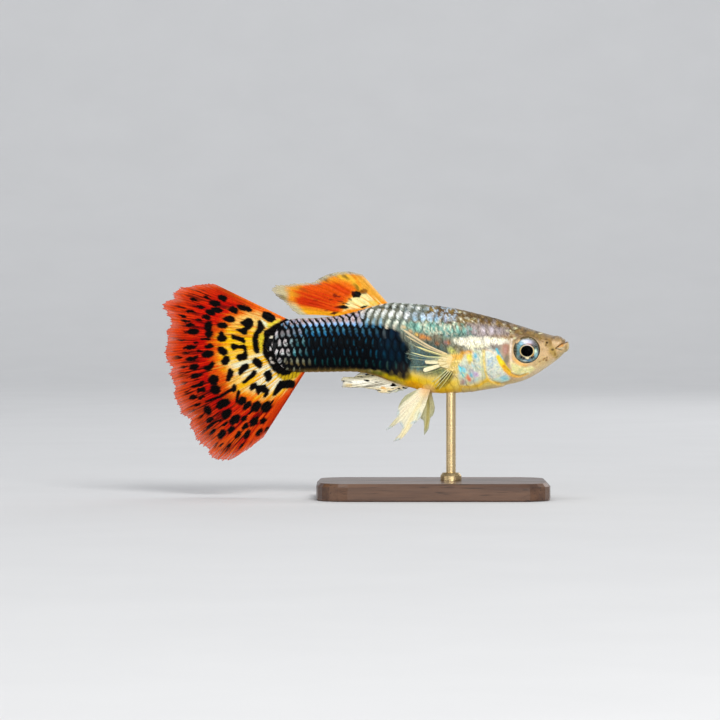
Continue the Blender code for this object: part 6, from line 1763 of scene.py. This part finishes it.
def build_eye(tag):
    side = -1 if tag == "r" else 1
    cx, cz = SNOUT_X - 4.35, 15.36
    na = 128
    r = np.concatenate([np.linspace(0, 0.70, 34), np.linspace(0.715, 1.385, 40), np.linspace(1.395, 1.40, 4)])[:, None]
    a = 2 * math.pi * np.arange(na)[None, :] / na
    # pupil a little wider than tall, with a small point below; its middle in pixels from the eye's own
    pu, pv = 0.30, 1.0
    rim_px = 1.405 / K

    def pupil(px, pz):
        q = np.hypot((px - pu) / 5.95, (pz - pv) / 5.25)
        return q - 0.05 * np.exp(-((np.hypot(px - pu - 0.3, pz - pv - 6.2) / 1.9) ** 2))

    dx, dz = r * np.cos(a), r * np.sin(a)
    q = pupil(dx / K, -dz / K)
    ball = 0.90 * np.sqrt(np.clip(1 - (r / 1.405) ** 2, 0, 1))
    lens = smooth(1.02, 0.84, q)
    ring = np.exp(-(((q - 1.14) / 0.10) ** 2))
    out = ball - 0.055 * smooth(1.50, 1.12, q) * (1 - lens) + lens * 0.025 + 0.014 * ring
    th0 = np.degrees(np.arctan2(dz, dx))
    out = out + 0.006 * np.sin(np.radians(th0) * 46) * smooth(1.2, 1.5, q) * smooth(1.36, 1.2, r)
    back = np.linspace(0, 1, 14)[1:, None]
    front = np.stack([cx + dx, side * (EYE_SIT + out), cz + dz], axis=-1)
    rb = 1.40 * np.cos(back * math.pi / 2)
    ob = -0.93 * np.sin(back * math.pi / 2)
    rear = np.stack([cx + rb * np.cos(a), side * (EYE_SIT + ob + 0 * a), cz + rb * np.sin(a)], axis=-1)
    grid = np.concatenate([front[1:], rear[:-1]])
    rows = len(grid)
    verts = np.concatenate([grid.reshape(-1, 3), front[:1, 0], np.array([[cx, side * (EYE_SIT - 0.93), cz]])])
    u = (verts[:, 0] - cx) / K
    v = -(verts[:, 2] - cz) / K
    rr = np.hypot(u, v) / rim_px
    qq = pupil(u, v)
    th = np.degrees(np.arctan2(-v, u))  # 0 ahead, 90 up
    grain = cloud(u, v, 1.8, 140)
    spoke = cloud(np.cos(np.radians(th)) * 11, np.sin(np.radians(th)) * 11, 1.0, 141)
    col = np.broadcast_to(rgb(84, 118, 122), u.shape + (3,)).copy()

    def spot(x, y, rx, ry, c, turn=0.0, strength=1.0, soft=0.6):
        nonlocal col
        # places in the photograph's pixels
        col = paint(col, blob(u + EYE_U + 0.15, v + EYE_V + 0.4, x, y, rx, ry, turn, soft) * strength, rgb(*c))

    spot(517.2, 349.5, 2.8, 8.5, (122, 158, 154))
    spot(518.6, 345.0, 1.8, 4.2, (106, 158, 172), 15, 0.9)
    spot(518.0, 353.5, 1.6, 4.5, (98, 142, 148), -12, 0.8)
    spot(514.6, 350.0, 1.9, 7.0, (56, 60, 46), 0, 0.95)
    spot(516.0, 342.6, 2.4, 2.6, (96, 116, 112), 0, 0.7)
    spot(533.6, 345.4, 3.2, 4.0, (58, 54, 50), -30, 0.95)
    spot(531.6, 342.2, 3.4, 2.2, (150, 144, 152), 30, 0.95)
    # painted reflection: the white and pale spots over the top of the iris stand for the light reflected on it
    spot(525.6, 341.9, 4.6, 2.4, (226, 226, 242), 0, 1.0)
    spot(522.6, 341.5, 2.0, 1.6, (244, 248, 250), -20, 0.9)
    spot(520.8, 343.4, 1.8, 1.7, (170, 216, 240), -35, 1.0)
    spot(529.0, 342.4, 2.2, 1.6, (190, 186, 206), 20, 0.8)
    spot(528.5, 344.2, 2.6, 0.8, (190, 130, 120), 12, 0.7)
    # painted highlight: the pale spot at the front of the iris
    spot(534.7, 351.8, 1.9, 3.0, (222, 248, 222), -6, 1.0)
    spot(535.8, 355.4, 1.7, 2.3, (130, 204, 214), 18, 1.0)
    spot(533.8, 348.2, 1.3, 1.4, (70, 84, 64), 0, 0.7)
    spot(522.0, 358.0, 3.4, 1.5, (40, 29, 18), 20, 1.0)
    spot(520.0, 356.4, 1.6, 1.6, (52, 42, 30), 40, 0.9)
    spot(531.2, 357.6, 2.6, 1.7, (26, 26, 24), -35, 1.0)
    spot(519.4, 359.2, 2.4, 1.3, (98, 142, 146), 38, 0.9)
    spot(524.6, 360.9, 2.7, 1.0, (184, 214, 224), 5, 1.0)
    spot(528.6, 360.6, 1.7, 1.1, (110, 166, 206), -8, 1.0)
    spot(532.6, 359.4, 2.2, 1.1, (88, 122, 122), -30, 0.9)
    col = paint(col, smooth(0.46, 0.74, spoke) * 0.22, rgb(226, 236, 238))
    col = paint(col, smooth(0.56, 0.74, grain) * 0.28, rgb(44, 58, 62))
    # brown lid skin over the top, dark rim elsewhere
    lid = smooth(0.76, 0.92, rr) * np.exp(-((((th - 97 + 180) % 360 - 180) / 62) ** 2))
    rim = smooth(0.93, 0.985, rr)
    col = paint(col, rim, rgb(44, 54, 46))
    col = paint(col, smooth(0.80, 0.93, rr) * np.exp(-((((th - 8 + 180) % 360 - 180) / 38) ** 2)) * 0.97, rgb(38, 20, 8))
    col = paint(col, lid * 0.92, rgb(150, 130, 90))
    # gold ring and black pupil
    # painted reflection: the top of the gold ring is painted pinkish white for the light reflected there
    ring_top_reflection = np.exp(-((((th - 80 + 180) % 360 - 180) / 50) ** 2))
    col = paint(col, smooth(1.42, 1.24, qq) * 0.35, rgb(60, 50, 40))
    gold = np.broadcast_to(rgb(244, 204, 118), u.shape + (3,)).copy()
    gold = paint(gold, ring_top_reflection, rgb(246, 226, 222))
    gold = paint(gold, np.exp(-((((th + 95 + 180) % 360 - 180) / 45) ** 2)) * 0.9, rgb(250, 232, 180))
    col = paint(col, np.exp(-(((qq - 1.14) / 0.075) ** 2)), gold)
    spot(526.8, 358.0, 1.8, 1.3, (250, 232, 186), 15, 1.0, 0.5)
    spot(532.4, 355.0, 1.6, 0.9, (190, 130, 30), -60, 0.7)
    col = paint(col, smooth(1.06, 0.985, qq), rgb(2, 2, 3))
    behind = side * verts[:, 1] < EYE_SIT + 0.02
    col = paint(col, behind.astype(float), rgb(24, 26, 30))
    shine = smooth(0.95, 0.80, rr) * (1 - smooth(1.12, 1.0, qq)) * 0.5
    c = np.arange(na)
    t0 = np.stack([c, (c + 1) % na, np.full(na, rows * na)], axis=1)
    last = (rows - 1) * na
    t1 = np.stack([last + (c + 1) % na, last + c, np.full(na, rows * na + 1)], axis=1)
    q4 = quads(rows, na, wrap=True, flip=True)
    faces = [q4, t0, t1]
    if side > 0:
        faces = [f[:, ::-1] for f in faces]
    obj = mesh_object(f"eyeball_{tag}", verts, faces, col, Shine=np.clip(shine, 0, 1))
    face = obj.data.polygons[na * 3]
    if face.normal.y * side < 0:
        obj.data.flip_normals()
    m = Mat(f"iris_{tag}", rough=0.26, coat=0.0, coat_rough=0.04, spec=0.02)
    tint = m.attribute("Tint")
    m.feed(Base_Color=m.mix(1.0, tint, m.ramp(m.noise(26000, 3), (0.3, 0.82), (0.75, 1.12)), "MULTIPLY"))
    m.feed(Metallic=m.math("MULTIPLY", m.attribute("Shine", "Fac"), 0.35))
    m.feed(Roughness=m.math("ADD", m.math("MULTIPLY", m.noise(20000, 2), 0.14), 0.36))
    m.bump(m.noise(30000, 3), 0.03, 0.000003)
    give(obj, m)
    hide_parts(f"eye_{tag}")
    # cornea: a clear dome just outside
    r = np.linspace(0, 1.0, 34)[:, None] ** 0.8 * 1.402
    bulge = 0.985 * np.sqrt(np.clip(1 - (r / 1.41) ** 2, 0, 1))
    outer = np.stack([cx + r * np.cos(a), side * (EYE_SIT + bulge + 0 * a), cz + r * np.sin(a)], axis=-1)
    inner_ = np.stack([cx + r * 0.985 * np.cos(a), side * (EYE_SIT + bulge * 0.965 + 0 * a), cz + r * 0.985 * np.sin(a)], axis=-1)
    rows = 33
    shell = np.concatenate([outer[1:].reshape(-1, 3), outer[:1, 0], inner_[1:].reshape(-1, 3), inner_[:1, 0]])
    half = rows * na + 1
    oq, iq = quads(rows, na, wrap=True, flip=True), quads(rows, na, wrap=True, start=half)
    edge = np.stack([(rows - 1) * na + (c + 1) % na, (rows - 1) * na + c, half + (rows - 1) * na + c, half + (rows - 1) * na + (c + 1) % na], axis=1)
    tips = np.concatenate([np.stack([c, (c + 1) % na, np.full(na, rows * na)], axis=1), np.stack([half + (c + 1) % na, half + c, np.full(na, half + rows * na)], axis=1)])
    faces = [np.concatenate([oq, iq, edge[:, ::-1]]), tips]
    obj = mesh_object(f"cornea_{tag}", shell, faces)
    face = obj.data.polygons[na * 2]
    if face.normal.y * side < 0:
        obj.data.flip_normals()
    m = Mat(f"cornea_{tag}", rough=0.03, spec=0.5)
    m.tree.nodes.remove(m.shader)
    clear = m.node("ShaderNodeBsdfTransparent")
    gloss = m.node("ShaderNodeBsdfGlossy")
    m.link(m.math("ADD", m.math("MULTIPLY", m.noise(9000, 2), 0.03), 0.015), gloss.inputs["Roughness"])
    fres = m.node("ShaderNodeFresnel")
    fres.inputs["IOR"].default_value = 1.34
    blend = m.node("ShaderNodeMixShader")
    m.link(m.math("MAXIMUM", m.math("SUBTRACT", m.math("MULTIPLY", fres.outputs[0], 0.17), 0.006), 0.0), blend.inputs[0])
    m.link(clear.outputs[0], blend.inputs[1])
    m.link(gloss.outputs[0], blend.inputs[2])
    m.link(blend.outputs[0], m.tree.nodes["Material Output"].inputs["Surface"])
    give(obj, m)


# ------------------------------------------------------------------ stand

def dress_stand():
    base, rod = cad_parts["stand_base"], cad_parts["stand_rod"]
    m = Mat("stand_walnut", rough=0.38, coat=0.3, coat_rough=0.18, spec=0.4)
    warp = m.noise(120, 3, stretch=(0.25, 1.0, 1.0))
    grain = m.noise(950, 5, 0.65, stretch=(0.07, 1.0, 1.0))
    pores = m.noise(5200, 2, 0.5, stretch=(0.06, 1.0, 1.0))
    figure = m.mix(0.45, grain, warp)
    col = m.ramp(figure, (0.28, (0.030, 0.013, 0.007)), (0.47, (0.085, 0.038, 0.019)), (0.58, (0.135, 0.064, 0.032)), (0.75, (0.20, 0.105, 0.055)))
    col = m.mix(m.ramp(pores, (0.60, 0.0), (0.70, 0.7)), col, (0.018, 0.009, 0.005))
    m.feed(Base_Color=col, Roughness=m.ramp(pores, (0.3, 0.30), (0.75, 0.52)))
    m.bump(m.mix(0.5, grain, pores), 0.25, 0.00004)
    base.material_slots[0].material = m.mat
    m = Mat("stand_brass", rough=0.24, metal=1.0, spec=0.5)
    spun = m.noise(4200, 3, 0.5, stretch=(0.05, 0.05, 1.0))
    stain = m.noise(700, 3, 0.6)
    col = m.mix(m.ramp(stain, (0.35, 0.0), (0.7, 0.45)), m.ramp(spun, (0.3, (0.70, 0.52, 0.27)), (0.7, (0.80, 0.62, 0.34))), (0.52, 0.37, 0.18))
    m.feed(Base_Color=col, Roughness=m.ramp(spun, (0.3, 0.20), (0.7, 0.30)))
    m.bump(spun, 0.02, 0.00001)
    rod.material_slots[0].material = m.mat


# ------------------------------------------------------------------ floor, light and camera

def build_stage():
    # a floor that turns up into a backdrop, far behind
    prof = [(-0.9, 0.0), (-0.4, 0.0), (0.0, 0.0), (0.20, 0.0), (0.45, 0.0)]
    for k in range(1, 13):
        a = math.pi / 2 * k / 12
        prof.append((0.45 + 0.35 * math.sin(a), 0.35 * (1 - math.cos(a))))
    prof.append((0.80, 1.4))
    xs = np.linspace(-1.6, 1.6, 5)
    verts = np.array([[x, y, z - 0.00002] for y, z in prof for x in xs]) / MM
    floor = mesh_object("studio_floor", verts, quads(len(prof), len(xs)))
    if floor.data.polygons[0].normal.z < 0:
        floor.data.flip_normals()
    m = Mat("studio_paper", rough=0.8, spec=0.2)
    m.feed(Base_Color=m.ramp(m.noise(60, 3), (0.3, (0.70, 0.705, 0.715)), (0.7, (0.72, 0.725, 0.735))))
    m.bump(m.noise(2500, 3), 0.02, 0.00003)
    give(floor, m, ride=False)

    world = bpy.data.worlds.new("studio")
    bpy.context.scene.world = world
    world.use_nodes = True
    bg = world.node_tree.nodes["Background"]
    bg.inputs[0].default_value = (0.92, 0.95, 1.0, 1)
    bg.inputs[1].default_value = 0.30

    def softbox(name, where, target, size, power, colour=(1, 1, 1)):
        data = bpy.data.lights.new(name, "AREA")
        data.shape = "RECTANGLE"
        data.size, data.size_y = size
        data.energy = power
        data.color = colour
        obj = bpy.data.objects.new(name, data)
        obj.location = where
        obj.rotation_euler = (Vector(target) - Vector(where)).to_track_quat("-Z", "Y").to_euler()
        bpy.context.scene.collection.objects.link(obj)

    aim = (0.0, 0.0, 0.015)
    softbox("key", (0.15, -0.42, 0.33), aim, (0.23, 0.18), 1.78, (1.0, 0.985, 0.96))
    softbox("fill", (-0.36, -0.28, 0.14), aim, (0.26, 0.26), 0.36, (0.95, 0.97, 1.0))
    softbox("low", (0.10, -0.55, 0.07), aim, (0.46, 0.10), 0.70, (1.0, 0.99, 0.97))
    softbox("top", (-0.02, 0.04, 0.34), aim, (0.24, 0.10), 0.22)
    softbox("rim", (0.16, 0.26, 0.16), aim, (0.16, 0.16), 0.12)
    softbox("back", (0.0, 0.30, 0.62), (0.0, 0.78, 0.22), (0.9, 0.3), 1.9)

    cam = bpy.data.cameras.new("camera")
    cam.sensor_fit = "HORIZONTAL"
    cam.sensor_width = 36.0
    distance = 0.42
    cam.lens = 36.0 * distance / (720 * K * MM)
    cam.clip_start, cam.clip_end = 0.01, 10.0
    obj = bpy.data.objects.new("camera", cam)
    lift = math.radians(1.2)
    cx, cz = from_px(360, 360)
    target = Vector((cx * MM, 0.0, cz * MM))
    obj.location = target + Vector((0.0, -distance * math.cos(lift), distance * math.sin(lift)))
    obj.rotation_euler = (target - obj.location).to_track_quat("-Z", "Y").to_euler()
    bpy.context.scene.collection.objects.link(obj)
    bpy.context.scene.camera = obj
    bpy.context.scene.view_settings.view_transform = "Standard"
    bpy.context.scene.view_settings.look = "None"
    bpy.context.scene.view_settings.exposure = 0.0


build_stage()
build_skin()
build_scales()
build_caudal()
build_dorsal()
build_anal()
for _tag in ("r", "l"):
    build_pelvic(_tag)
    build_pectoral(_tag)
    build_eye(_tag)
dress_stand()
